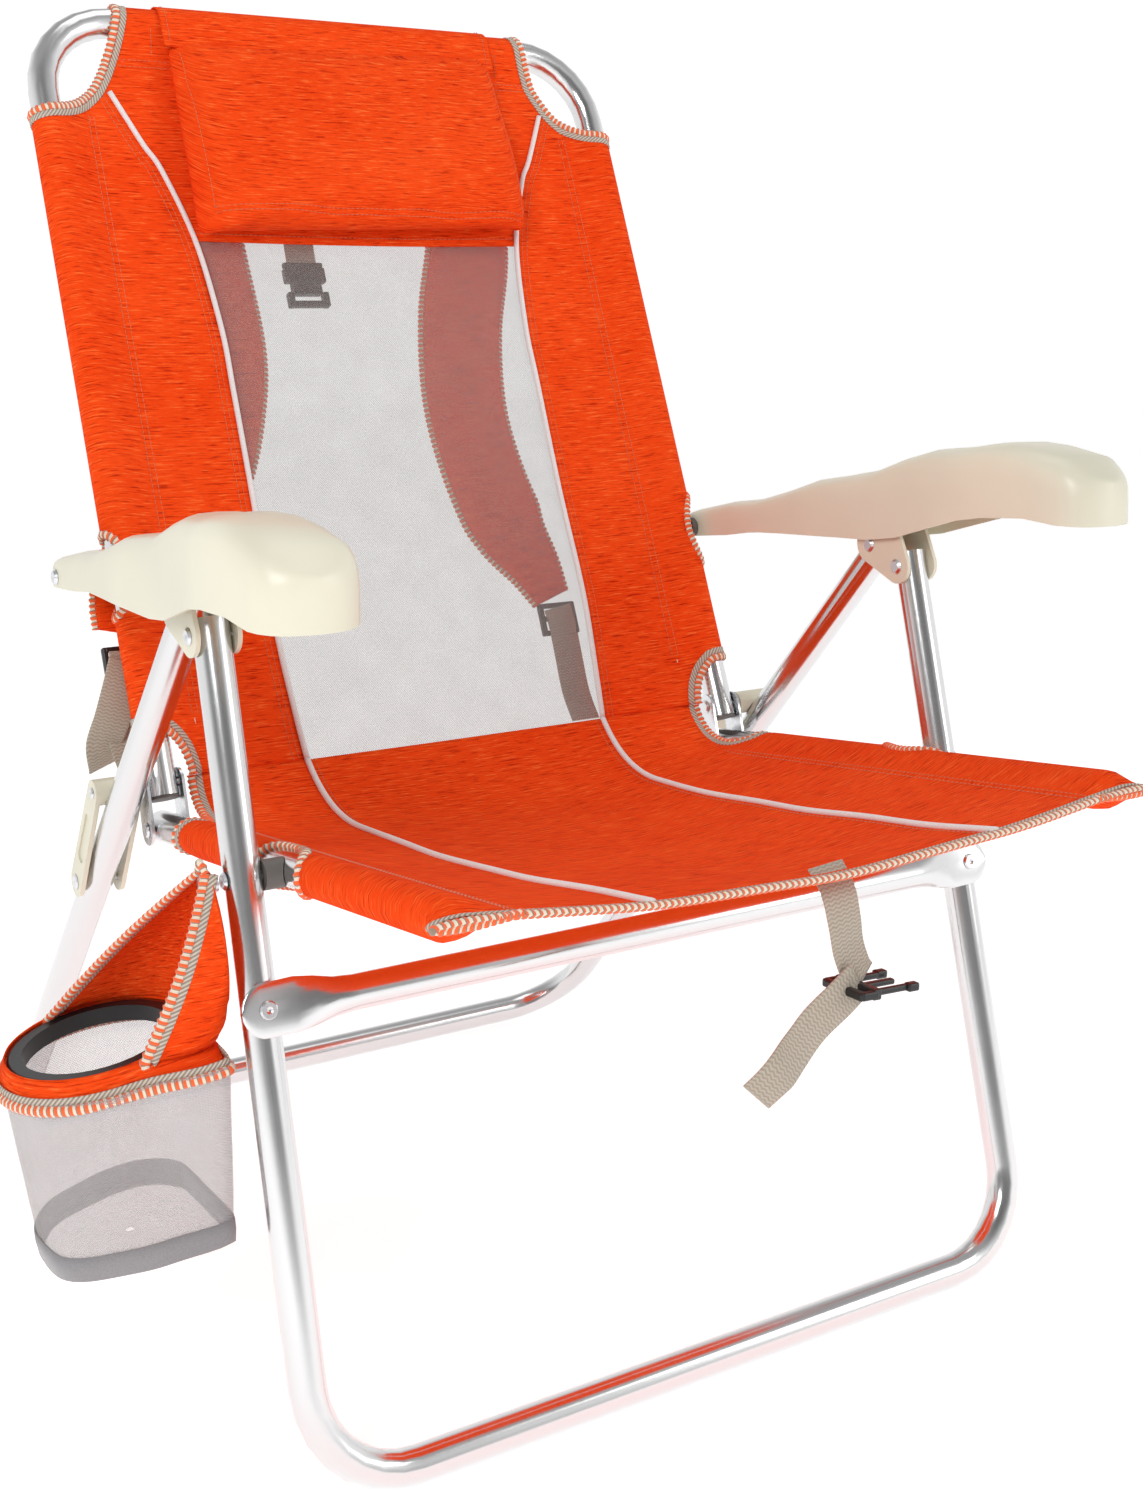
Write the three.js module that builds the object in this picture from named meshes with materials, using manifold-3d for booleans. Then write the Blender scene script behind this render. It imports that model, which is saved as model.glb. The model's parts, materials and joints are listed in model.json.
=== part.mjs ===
// A folding beach chair with a reclining back, a fabric sling, moulded armrests, a headrest pillow,
// shoulder straps and a cup holder. Millimetres, +Z up. The sitter faces -Y, so the sitter's left
// hand is at +X. Names end in _l on the sitter's left and _r on the sitter's right.
// The origin is on the floor, midway between the two floor bars and midway between the legs.

import * as THREE from 'three';
import { mergeVertices } from 'three/addons/utils/BufferGeometryUtils.js';
import Module from 'manifold-3d';

const wasm = await Module();
wasm.setup();

// ---- Driving dimensions ----------------------------------------------------------------------

const TUBE_R = 11; // every leg, seat and back tube is 22 mm across
const TUBE_WALL = 1.4;
const BEND_R = 60; // centre line of every tube bend
const LEG_X = 268; // leg tube centres from the middle plane
const FRAME_X = 235.5; // seat and back tube centres from the middle plane
const FOOTPRINT = 607; // front floor bar to rear floor bar, between centre lines

const FRONT_LEAN = 14.05; // front leg, degrees back from vertical
const SEAT_RAKE = 6.15; // seat, degrees down towards the rear
const BACK_LEAN = 21.6; // back, degrees back from vertical

const FRONT_RIVET_UP = 489.5; // along the front leg, from the floor bar to its top rivet
const REAR_PIVOT_UP = 20; // rear leg pivot, beyond that rivet along the front leg
const REAR_PIVOT_OUT = 25.5; // and square to it, so that the folded legs lie side by side
const LEG_STUB = 10; // tube left beyond the top rivets
const SEAT_PIVOT_UP = 348.4; // along the front leg, from the floor bar to the seat pivot
const CROSS_BAR_UP = 274; // along the front leg, from the floor bar to the cross bar

const SEAT_TUBE_FRONT = 182; // seat tube, ahead of the seat pivot
const PLATE_RIVET_BACK = 216; // plate rivet, behind the seat pivot
const SEAT_TUBE_TAIL = 9; // seat tube, beyond the plate rivet
const RECLINE_BACK = 220; // recline pivot, behind the seat pivot
const RECLINE_UP = 29.7; // and above the seat tube's axis
const BACK_STUB = 9; // back tube, below the recline pivot
const BACK_LENGTH = 573; // recline pivot to the top bar's axis
const ARM_PIVOT_UP = 150; // recline pivot to the armrest pivot
const LINK_PIVOT_DOWN = 297; // along the rear leg, from its pivot to the link's

const PIN_R = 3;
const RUNNING_GAP = 0.3; // between pieces that turn on each other
const PLATE_T = 2;
const FABRIC_T = 3; // sling solid, drawn thicker than the cloth
const WEB_W = 25;
const WEB_T = 1.8;

// ---- Side plane layout: Vector2(y, z) --------------------------------------------------------

const side = (y, z) => new THREE.Vector2(y, z);
const radians = THREE.MathUtils.degToRad;
const heading = (degrees) => side(Math.cos(radians(degrees)), Math.sin(radians(degrees)));
const vectors = (pairs) => pairs.map(([x, y]) => new THREE.Vector2(x, y));
const along = (from, ...moves) => moves.reduce((p, [way, d]) => p.addScaledVector(way, d), from.clone());
const place = (x, p) => new THREE.Vector3(x, p.x, p.y);
const inSidePlane = (p) => new THREE.Vector3(0, p.x, p.y);

const frontUp = heading(90 - FRONT_LEAN);
const frontAft = heading(-FRONT_LEAN);
const seatAft = heading(-SEAT_RAKE);
const seatUp = heading(90 - SEAT_RAKE);
const backUp = heading(90 - BACK_LEAN);
const backFore = heading(180 - BACK_LEAN);

const frontFoot = side(-FOOTPRINT / 2, TUBE_R);
const rearFoot = side(FOOTPRINT / 2, TUBE_R);
const frontRivet = along(frontFoot, [frontUp, FRONT_RIVET_UP]);
const rearPivot = along(frontRivet, [frontUp, REAR_PIVOT_UP], [frontAft, REAR_PIVOT_OUT]);
const rearDown = rearFoot.clone().sub(rearPivot).normalize();
const seatPivot = along(frontFoot, [frontUp, SEAT_PIVOT_UP]);
const plateRivet = along(seatPivot, [seatAft, PLATE_RIVET_BACK]);
const reclinePivot = along(seatPivot, [seatAft, RECLINE_BACK], [seatUp, RECLINE_UP]);
const armPivot = along(reclinePivot, [backUp, ARM_PIVOT_UP]);
const linkPivot = along(rearPivot, [rearDown, LINK_PIVOT_DOWN]);
const backPoint = (up, fore = 0) => along(reclinePivot, [backUp, up], [backFore, fore]);
const seatPoint = (aft, up = 0) => along(seatPivot, [seatAft, aft], [seatUp, up]);

// ---- Materials -------------------------------------------------------------------------------

function material(color, roughness, metalness = 0) {
  return new THREE.MeshStandardMaterial({ color, roughness, metalness });
}
const aluminium = () => material('#d9dadb', 0.28, 1);
const steel = () => material('#c4c6c8', 0.25, 1);
const creamPlastic = () => material('#e4e2cd', 0.45);
const greyPlastic = () => material('#6e6c68', 0.5);
const blackPlastic = () => material('#1b1b1c', 0.45);
const orangeCloth = () => material('#e8430a', 0.9);
const meshCloth = () => material('#c9c7c5', 0.85);
const taupeWebbing = () => material('#8b8074', 0.9);

// ---- Geometry helpers ------------------------------------------------------------------------

/** Weld a geometry by position alone, so that it closes. */
function welded(geometry) {
  const bare = geometry.clone();
  bare.deleteAttribute('normal');
  bare.deleteAttribute('uv');
  return mergeVertices(bare, 1e-3);
}

function toSolid(geometry) {
  const closed = welded(geometry);
  return new wasm.Manifold(new wasm.Mesh({
    numProp: 3,
    vertProperties: new Float32Array(closed.attributes.position.array),
    triVerts: new Uint32Array(closed.index.array),
  }));
}

function toGeometry(solid) {
  const mesh = solid.getMesh();
  const geometry = new THREE.BufferGeometry();
  geometry.setAttribute('position', new THREE.BufferAttribute(new Float32Array(mesh.vertProperties), 3));
  geometry.setIndex(new THREE.BufferAttribute(new Uint32Array(mesh.triVerts), 1));
  geometry.computeVertexNormals();
  return geometry;
}

const union = (...parts) => toGeometry(parts.map(toSolid).reduce((a, b) => a.add(b)));
const cut = (body, ...tools) => toGeometry(tools.map(toSolid).reduce((a, b) => a.subtract(b), toSolid(body)));

/** The same shape on the other side of the middle plane, still facing out. */
function mirrored(geometry) {
  const twin = welded(geometry).scale(-1, 1, 1);
  const index = twin.index.array;
  for (let i = 0; i < index.length; i += 3) [index[i], index[i + 1]] = [index[i + 1], index[i]];
  twin.computeVertexNormals();
  return twin;
}

/** A path of straights joined by equal bends, with its stations only where the bends need them. */
class BentPath extends THREE.Curve {
  constructor(corners, radius, arcSteps = 7) {
    super();
    this.stations = [];
    const last = corners.length - 1;
    corners.forEach((corner, i) => {
      const into = i > 0 ? corner.clone().sub(corners[i - 1]).normalize() : null;
      const out = i < last ? corners[i + 1].clone().sub(corner).normalize() : null;
      if (!into || !out) {
        this.stations.push({ point: corner, tangent: into ?? out });
        return;
      }
      const turn = into.angleTo(out);
      const inward = out.clone().addScaledVector(into, -into.dot(out)).normalize();
      const start = corner.clone().addScaledVector(into, -radius * Math.tan(turn / 2));
      for (let k = 0; k <= arcSteps; k += 1) {
        const a = (turn * k) / arcSteps;
        const point = start.clone().addScaledVector(into, radius * Math.sin(a));
        point.addScaledVector(inward, radius * (1 - Math.cos(a)));
        const tangent = into.clone().multiplyScalar(Math.cos(a)).addScaledVector(inward, Math.sin(a));
        this.stations.push({ point, tangent });
      }
    });
  }

  get spans() { return this.stations.length - 1; }

  nearest(u) { return this.stations[Math.round(u * this.spans)]; }

  getPointAt(u) { return this.nearest(u).point.clone(); }

  getTangentAt(u) { return this.nearest(u).tangent.clone(); }
}

const BORE_SIDES = 10; // the hidden bore of a tube needs fewer sides than its outside
function roundSection(outer, inner = 0) {
  const section = new THREE.Shape().absarc(0, 0, outer, 0, 2 * Math.PI, false);
  const ring = Array.from({ length: BORE_SIDES }, (_, i) => heading((-360 * i) / BORE_SIDES).multiplyScalar(inner));
  if (inner > 0) section.holes.push(new THREE.Path(ring));
  return section;
}

/** A tube or a rod through the given corners. */
function sweep(corners, outer, inner = 0, sides = 20) {
  const path = new BentPath(corners, BEND_R);
  return new THREE.ExtrudeGeometry(roundSection(outer, inner), {
    extrudePath: path, steps: path.spans, curveSegments: sides / 2, bevelEnabled: false,
  });
}

/** A cylinder from one point to another. */
function rod(from, to, radius, sides = 16) {
  const axis = to.clone().sub(from);
  const geometry = new THREE.CylinderGeometry(radius, radius, axis.length(), sides);
  const turn = new THREE.Quaternion().setFromUnitVectors(new THREE.Vector3(0, 1, 0), axis.normalize());
  return geometry.applyQuaternion(turn).translate(...from.clone().add(to).multiplyScalar(0.5).toArray());
}

const crosswise = (p, x0, x1, radius, sides) => rod(place(x0, p), place(x1, p), radius, sides);

/** Turn a shape drawn in (y, z) into a slab between two x values. */
const Y_Z_X = new THREE.Matrix4().makeBasis(
  new THREE.Vector3(0, 1, 0), new THREE.Vector3(0, 0, 1), new THREE.Vector3(1, 0, 0),
);
function slab(shape, x0, x1) {
  const options = { depth: x1 - x0, bevelEnabled: false, curveSegments: 8 };
  return new THREE.ExtrudeGeometry(shape, options).applyMatrix4(Y_Z_X).translate(x0, 0, 0);
}

/** The tight outline around some circles, each [centre, radius]. */
function hull(circles, sides = 20) {
  const points = circles.flatMap(([centre, radius]) => Array.from({ length: sides }, (_, i) => (
    along(centre, [heading((360 * i) / sides), radius]))));
  points.sort((a, b) => a.x - b.x || a.y - b.y);
  const turnsRight = (a, b, c) => (b.x - a.x) * (c.y - a.y) - (b.y - a.y) * (c.x - a.x) <= 1e-6;
  const chain = (list) => list.reduce((kept, p) => {
    while (kept.length > 1 && turnsRight(kept[kept.length - 2], kept[kept.length - 1], p)) kept.pop();
    kept.push(p);
    return kept;
  }, []).slice(0, -1);
  return new THREE.Shape([...chain(points), ...chain([...points].reverse())]);
}

/** A closed skin over a row of rings with equal point counts. */
function loft(rings) {
  const count = rings[0].length;
  const centre = (ring) => ring.reduce((sum, p) => sum.add(p), new THREE.Vector3()).divideScalar(count);
  const points = [...rings.flat(), centre(rings[0]), centre(rings[rings.length - 1])];
  const firstHub = points.length - 2;
  const lastRow = (rings.length - 1) * count;
  const index = [];
  for (let i = 0; i < count; i += 1) {
    const j = (i + 1) % count;
    for (let row = 0; row < lastRow; row += count) {
      index.push(row + i, row + j, row + count + j, row + i, row + count + j, row + count + i);
    }
    index.push(firstHub, j, i, firstHub + 1, lastRow + i, lastRow + j);
  }
  const geometry = new THREE.BufferGeometry().setFromPoints(points);
  geometry.setIndex(index);
  return facingOut(geometry);
}

/** Flip a closed geometry whose faces point inwards. */
function facingOut(geometry) {
  const { array } = geometry.index;
  const corner = (i) => new THREE.Vector3().fromBufferAttribute(geometry.attributes.position, array[i]);
  let volume = 0;
  for (let i = 0; i < array.length; i += 3) volume += corner(i).dot(corner(i + 1).cross(corner(i + 2)));
  if (volume < 0) for (let i = 0; i < array.length; i += 3) [array[i], array[i + 1]] = [array[i + 1], array[i]];
  geometry.computeVertexNormals();
  return geometry;
}

/** Smooth value from a list of [place, value] knots. */
function profile(knots) {
  return (at) => {
    if (at <= knots[0][0]) return knots[0][1];
    const i = knots.findIndex(([place0]) => place0 >= at);
    if (i < 0) return knots[knots.length - 1][1];
    const [[a, va], [b, vb]] = [knots[i - 1], knots[i]];
    const t = (at - a) / (b - a);
    return va + (vb - va) * t * t * (3 - 2 * t);
  };
}

/** A rivet along +X: shaft from x0 to x1, heads outside both ends, the outer one dimpled. */
function rivet(p, x0, x1, { shaft = PIN_R, head = 5.5, height = 1.5, innerHead = true } = {}) {
  const closedHead = [[0, x0 - height], [head * 0.7, x0 - height], [head, x0], [shaft, x0]];
  const start = innerHead ? closedHead : [[0, x0], [shaft, x0]];
  const top = x1 + height;
  const end = [[shaft, x1], [head, x1], [head * 0.75, top], [head * 0.35, top], [0, x1 + height * 0.3]];
  const outline = [...start, ...end].map(([r, x]) => new THREE.Vector2(r, x));
  return new THREE.LatheGeometry(outline, 12).rotateZ(-Math.PI / 2).translate(0, p.x, p.y);
}

/** A hole for a pin across the object. */
const pinHole = (p, x0, x1, radius = PIN_R + RUNNING_GAP) => crosswise(p, x0, x1, radius, 12);

// ---- Frame tubes -----------------------------------------------------------------------------

const bore = TUBE_R - TUBE_WALL;
const bothSides = (make) => [make(1), make(-1)];

function frontLegFrame() {
  const top = along(frontRivet, [frontUp, LEG_STUB]);
  const corners = [place(LEG_X, top), place(LEG_X, frontFoot), place(-LEG_X, frontFoot), place(-LEG_X, top)];
  const holes = bothSides((s) => [frontRivet, seatPivot].map((p) => pinHole(p, s * (LEG_X - 15), s * (LEG_X + 15))));
  const boltHoles = bothSides((s) => crossBarRod(s, 15, -2, PIN_R + RUNNING_GAP));
  return cut(sweep(corners, TUBE_R, bore), ...holes.flat(), ...boltHoles);
}

function rearLegFrame() {
  const top = along(rearPivot, [rearDown, -LEG_STUB + 1]);
  const corners = [place(LEG_X, top), place(LEG_X, rearFoot), place(-LEG_X, rearFoot), place(-LEG_X, top)];
  const holes = bothSides((s) => [rearPivot, linkPivot].map((p) => pinHole(p, s * (LEG_X - 15), s * (LEG_X + 15))));
  return cut(sweep(corners, TUBE_R, bore), ...holes.flat());
}

function backFrame() {
  const corners = [[1, -BACK_STUB], [1, BACK_LENGTH], [-1, BACK_LENGTH], [-1, -BACK_STUB]]
    .map(([s, up]) => place(s * FRAME_X, backPoint(up)));
  const holes = bothSides((s) => [
    pinHole(reclinePivot, s * (FRAME_X - 15), s * (FRAME_X + 15)),
    pinHole(armPivot, s * FRAME_X, s * (FRAME_X + 15)),
  ]);
  return cut(sweep(corners, TUBE_R, bore), ...holes.flat());
}

function seatTube() {
  const ends = [seatPoint(-SEAT_TUBE_FRONT), seatPoint(PLATE_RIVET_BACK + SEAT_TUBE_TAIL)];
  const tube = sweep(ends.map((p) => place(FRAME_X, p)), TUBE_R, bore);
  return cut(tube, pinHole(plateRivet, FRAME_X - 15, FRAME_X + 15), pinHole(seatPivot, FRAME_X, FRAME_X + 15));
}

const PLUG_CAP_T = 1.8;

function backTubePlug() {
  const capTop = -BACK_STUB - RUNNING_GAP;
  const capBottom = capTop - PLUG_CAP_T;
  const outline = [[0, capBottom], [TUBE_R, capBottom], [TUBE_R, capTop], [0, capTop]];
  const cap = new THREE.LatheGeometry(vectors(outline), 20);
  const stemR = bore * Math.cos(Math.PI / BORE_SIDES) - RUNNING_GAP;
  const stem = new THREE.CylinderGeometry(stemR, stemR, 4, 20).translate(0, 1.7 - BACK_STUB - RUNNING_GAP, 0);
  const turn = new THREE.Quaternion().setFromUnitVectors(new THREE.Vector3(0, 1, 0), inSidePlane(backUp));
  return union(cap, stem).applyQuaternion(turn).translate(FRAME_X, reclinePivot.x, reclinePivot.y);
}

// ---- Cross bar -------------------------------------------------------------------------------

const BAR_R = 10.5;
const BAR_FLAT_T = 3;
const BAR_FLAT_H = 16; // half height of the flattened ends
const crossBarLine = along(frontFoot, [frontUp, CROSS_BAR_UP], [frontAft, -(TUBE_R + 0.4 + BAR_FLAT_T / 2)]);

/** A rod square to the front leg, through the cross bar's flattened end. */
function crossBarRod(s, ahead, behind, radius) {
  const ends = [-ahead, -behind].map((d) => along(crossBarLine, [frontAft, d]));
  return rod(place(s * LEG_X, ends[0]), place(s * LEG_X, ends[1].addScaledVector(frontAft, TUBE_R)), radius, 12);
}

function crossBar() {
  const sides = 20;
  const section = (x, high, deep) => Array.from({ length: sides }, (_, i) => {
    const a = (2 * Math.PI * i) / sides;
    return place(x, along(crossBarLine, [frontUp, high * Math.cos(a)], [frontAft, deep * Math.sin(a)]));
  });
  // Half the bar from the middle: [x, half height, half depth]; the end is a round flat disc.
  const flat = BAR_FLAT_T / 2;
  const shoulder = LEG_X - BAR_FLAT_H - 1;
  const half = [
    [shoulder - 36, BAR_R, BAR_R], [shoulder - 24, 11.5, 8.6], [shoulder - 12, 14.2, 4.6],
    [shoulder, BAR_FLAT_H, flat],
  ];
  for (let k = 1; k <= 6; k += 1) {
    const a = (k / 6) * (Math.PI / 2);
    const end = LEG_X + BAR_FLAT_H * Math.sin(a) * 0.995;
    half.push([end, Math.max(BAR_FLAT_H * Math.cos(a), 1.2), flat]);
  }
  const stations = [...half.map(([x, h, d]) => [-x, h, d]).reverse(), ...half];
  const bar = loft(stations.map(([x, h, d]) => section(x, h, d)));
  return cut(bar, ...bothSides((s) => crossBarRod(s, 15, -2, PIN_R + RUNNING_GAP)));
}

function crossBarRivet() {
  const outline = [[0, -9], [PIN_R, -9], [PIN_R, 1.8], [5.5, 1.8], [4.6, 3.2], [2.2, 3.2], [0, 1.2]];
  const pin = new THREE.LatheGeometry(outline.map(([r, h]) => new THREE.Vector2(r, h)), 16);
  const turn = new THREE.Quaternion().setFromUnitVectors(new THREE.Vector3(0, 1, 0), inSidePlane(frontAft).negate());
  return pin.applyQuaternion(turn).translate(LEG_X, crossBarLine.x, crossBarLine.y);
}

// ---- Joint hardware --------------------------------------------------------------------------

const LINK_ARM_T = 3.2;
const legFace = LEG_X + TUBE_R; // outer side of the legs
const legInner = LEG_X - TUBE_R;
const frameFace = FRAME_X + TUBE_R; // outer side of the seat and back tubes
const plateGap = 0.5;

/** U-shaped plastic bracket over both leg tops: two cheeks joined by a roof. */
function legBracket() {
  const roofZ = rearPivot.y + 20.5;
  const cheek = hull([
    [frontRivet, 12.5], [rearPivot, 13],
    [side(frontRivet.x + 4, roofZ), 2], [side(rearPivot.x + 10, roofZ), 2],
  ]);
  const inner = legInner - RUNNING_GAP - 2.8;
  const outer = legFace + RUNNING_GAP + 2.8;
  const gap = new THREE.BoxGeometry(2 * (TUBE_R + RUNNING_GAP), 90, 60);
  gap.translate(LEG_X, (frontRivet.x + rearPivot.x) / 2, roofZ - 1 - 30);
  return cut(slab(cheek, inner, outer), gap, ...[frontRivet, rearPivot].map((p) => pinHole(p, inner - 2, outer + 2)));
}

const bracketFaces = [legInner - RUNNING_GAP - 3.1, legFace + RUNNING_GAP + 3.1];
const bracketRivet = (p) => rivet(p, ...bracketFaces);

/** Round spacer between leg and seat tube, its inner end saddled over the seat tube. */
function seatSpacer() {
  const body = crosswise(seatPivot, FRAME_X + 3, legInner - RUNNING_GAP, 9, 20);
  const reach = [seatPoint(-20), seatPoint(20)].map((p) => place(FRAME_X, p));
  return cut(body, rod(...reach, TUBE_R + RUNNING_GAP, 32), pinHole(seatPivot, FRAME_X, LEG_X));
}

const seatRivet = () => rivet(seatPivot, FRAME_X + 6.5, legFace + RUNNING_GAP, { innerHead: false });

const plateOutline = () => hull([[plateRivet, 10.5], [reclinePivot, 10]]);
function reclinePlate(x0) {
  const plate = slab(plateOutline(), x0, x0 + PLATE_T);
  return cut(plate, ...[plateRivet, reclinePivot].map((p) => pinHole(p, x0 - 2, x0 + PLATE_T + 2)));
}
const innerPlateX = FRAME_X - TUBE_R - plateGap - PLATE_T;
const outerPlateX = frameFace + plateGap;
function plateStackRivet(p) {
  return rivet(p, innerPlateX - RUNNING_GAP, outerPlateX + PLATE_T + RUNNING_GAP, { height: 1.3 });
}

const linkInnerX = outerPlateX + PLATE_T + 2.4;
const linkOuterX = legFace + 1.3 + LINK_ARM_T;

/** Plastic link: two arms that straddle the rear leg, joined by a boss at the recline pivot. */
function link() {
  const arm = (r) => hull([[reclinePivot, 9 + r], [linkPivot, 10.5 + r]]);
  const sides = [[linkInnerX, linkInnerX + LINK_ARM_T], [linkOuterX - LINK_ARM_T, linkOuterX]];
  const arms = sides.map(([a, b]) => slab(arm(0), a, b));
  const boss = crosswise(reclinePivot, linkInnerX + 1, linkOuterX - 1, 9, 20);
  const legRoom = rod(place(LEG_X, rearPivot), place(LEG_X, rearFoot), TUBE_R + 0.5, 32);
  const pocket = slab(hull([
    [reclinePivot.clone().lerp(linkPivot, 0.3), 4.5], [reclinePivot.clone().lerp(linkPivot, 0.7), 5],
  ]), linkOuterX - 1.2, linkOuterX + 1);
  const screwHole = crosswise(reclinePivot, linkOuterX - 7, linkOuterX + 1, 2.3, 12);
  return cut(union(...arms, boss), legRoom, pocket, screwHole, pinHole(linkPivot, linkInnerX - 2, linkOuterX + 2));
}

const linkRivet = () => rivet(linkPivot, linkInnerX - RUNNING_GAP, linkOuterX + RUNNING_GAP, { height: 0.9 });
function linkScrew() {
  const size = { shaft: 2, head: 4, height: 1, innerHead: false };
  return rivet(reclinePivot, linkOuterX - 6, linkOuterX + 0.2, size);
}

// ---- Armrests --------------------------------------------------------------------------------

const ARM_FRONT = 420; // armrest pivot to the front tip
const ARM_REAR = 16; // armrest pivot to the rear tip
const ARM_WALL = 2.4;
const ARM_TILT = { l: 1.2, r: -1.2 }; // the two rest at slightly different heights, degrees
const armTop = profile([
  [-16, 12], [10, 16], [60, 25], [185, 50], [285, 72], [345, 78], [385, 75], [420, 60],
]);
const armBottom = profile([
  [-16, -8], [8, -7], [100, 2], [215, 4], [335, 27], [366, 29], [395, 26], [420, 25],
]);
const ARM_INNER_X = 249.3;
const armOuterX = profile([[0, 284], [200, 295], [370, 310]]);

/** Half-width factor that rounds the tips of the armrest in plan. */
function tipRounding(a, front, rear, frontR, rearR) {
  const into = Math.max(0, (a - (front - frontR)) / frontR, (rear + rearR - a) / rearR);
  return Math.sqrt(Math.max(0, 1 - into ** 2.6));
}

/** The armrest's outer form, or its hollow when inset is the wall. */
function armrestForm(inset) {
  const front = ARM_FRONT - inset;
  const rear = inset > 0 ? 15 : -ARM_REAR; // the rear end stays solid around its pivot
  const places = [0, 0.5, 1.8, 4, 8, 14, 22];
  const stations = [
    ...places.map((d) => rear + d), ...[45, 80, 115, 150, 185, 215, 245, 275, 305, 330, 350, 370],
    ...places.map((d) => front - d).reverse(),
  ];
  const arcSteps = 12;
  return loft(stations.map((a) => {
    const round = Math.max(0.06, tipRounding(a, front, rear, inset > 0 ? 24 : 27, inset > 0 ? 4 : 12));
    const lowX = ARM_INNER_X + inset;
    const highX = armOuterX(a) - inset;
    const middle = (lowX + highX) / 2;
    const halfW = ((highX - lowX) / 2) * (a > 200 ? round : 0.55 + 0.45 * round);
    const squeeze = a > 200 ? 0.55 + 0.45 * round : round;
    const level = (armTop(a) + armBottom(a)) / 2;
    const top = level + (armTop(a) - inset - level) * squeeze;
    const bottom = inset > 0 ? armBottom(a) - 12 : level + (armBottom(a) - level) * (a > 200 ? 1 : round);
    const crown = Math.min(22, (top - bottom) * 0.55);
    const ring = [];
    for (let k = 0; k <= arcSteps; k += 1) {
      const t = (Math.PI * k) / arcSteps;
      const across = Math.sign(Math.cos(t)) * Math.abs(Math.cos(t)) ** 0.62;
      ring.push(new THREE.Vector3(middle + halfW * across, -a, top - crown + crown * Math.sin(t) ** 0.62));
    }
    ring.push(new THREE.Vector3(middle - halfW, -a, bottom), new THREE.Vector3(middle, -a, bottom));
    ring.push(new THREE.Vector3(middle + halfW, -a, bottom));
    return ring;
  }));
}

/** Hollow armrest, drawn about its pivot and then tilted. */
function armrest(tilt) {
  const screwHole = crosswise(side(0, 0), 240, 300, PIN_R + RUNNING_GAP, 12);
  const shell = cut(armrestForm(0), armrestForm(ARM_WALL), screwHole);
  return shell.rotateX(-radians(tilt)).translate(0, armPivot.x, armPivot.y);
}

function armrestSpacer() {
  const ring = crosswise(armPivot, FRAME_X + 6, ARM_INNER_X - RUNNING_GAP, 8, 20);
  const reach = [-20, 20].map((d) => place(FRAME_X, backPoint(ARM_PIVOT_UP + d)));
  return cut(ring, rod(...reach, TUBE_R + RUNNING_GAP, 32), pinHole(armPivot, FRAME_X, 260));
}
const armrestScrew = () => rivet(armPivot, FRAME_X + 6.5, 284.3, { innerHead: false, height: 2 });

// ---- Sling, mesh and pillow ------------------------------------------------------------------

const SLEEVE_R = TUBE_R + 2;
const SLEEVE_GAP = 0.35;
const SLING_FORE = 1; // rear face of the back sling, ahead of the back tubes' axis
const SEAT_FRONT = -205; // seat cloth's front edge, behind the seat pivot
const SEAT_REAR = 196;
const SEAT_SLEEVE_END = 180; // rear end of the seat's side sleeves, behind the seat pivot
const INNER_X = 219; // half width of the cloth where it has no sleeve
const PAST = 9; // how far a cutter runs past the cloth
const SLEEVE_TOP = 490; // top of the back's side sleeves, above the recline pivot
const HIP_CUT = 40; // bottom of the back's side sleeves
const HEM_X = 172; // half width of the hem around the top bar
const MESH = { bottom: 14, top: 403, halfBottom: 124, halfTop: 139 };

const acrossX = new THREE.Vector3(1, 0, 0);

/** Put a shape drawn in (x, up the back) into the back's plane, starting fore of its axis. */
function onBack(shape, fore, thickness) {
  const basis = new THREE.Matrix4().makeBasis(acrossX, inSidePlane(backUp), inSidePlane(backFore));
  const geometry = new THREE.ExtrudeGeometry(shape, { depth: thickness, bevelEnabled: false, curveSegments: 6 });
  geometry.translate(0, 0, fore).applyMatrix4(basis);
  return geometry.translate(0, reclinePivot.x, reclinePivot.y);
}

function meshOutline(shrink) {
  const { bottom, top, halfBottom, halfTop } = MESH;
  const [b, t, wb, wt] = [bottom + shrink, top - shrink, halfBottom - shrink, halfTop - shrink];
  return vectors([[-wb, b], [wb, b], [wt, t], [-wt, t]]);
}

/** A rod about a back tube's axis, on either side, from one height up the back to another. */
function backTubeRod(from, to, radius) {
  return bothSides((s) => rod(place(s * FRAME_X, backPoint(from)), place(s * FRAME_X, backPoint(to)), radius, 20));
}

/** A rod about the top bar's axis, as far as x on both sides. */
function topBarRod(x, radius) {
  return rod(place(-x, backPoint(BACK_LENGTH)), place(x, backPoint(BACK_LENGTH)), radius, 20);
}

function slingBack() {
  const half = [
    [INNER_X, 2], [INNER_X, HIP_CUT], [FRAME_X, HIP_CUT], [FRAME_X, SLEEVE_TOP],
    [200, 498], [184, 520], [HEM_X, 565], [HEM_X, BACK_LENGTH],
  ];
  const cloth = new THREE.Shape(vectors([...half, ...half.map(([x, y]) => [-x, y]).reverse()]));
  cloth.holes.push(new THREE.Path(meshOutline(0).reverse()));
  const sleeves = [...backTubeRod(HIP_CUT, SLEEVE_TOP, SLEEVE_R), topBarRod(HEM_X, SLEEVE_R)];
  const bores = [
    ...backTubeRod(HIP_CUT - PAST, SLEEVE_TOP + PAST, TUBE_R + SLEEVE_GAP),
    topBarRod(HEM_X + PAST, TUBE_R + SLEEVE_GAP),
  ];
  const armCuts = bothSides((s) => crosswise(armPivot, s * (FRAME_X + 4), s * (FRAME_X + 20), 22, 16));
  return cut(union(onBack(cloth, SLING_FORE, FABRIC_T), ...sleeves), ...bores, ...armCuts);
}

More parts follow.
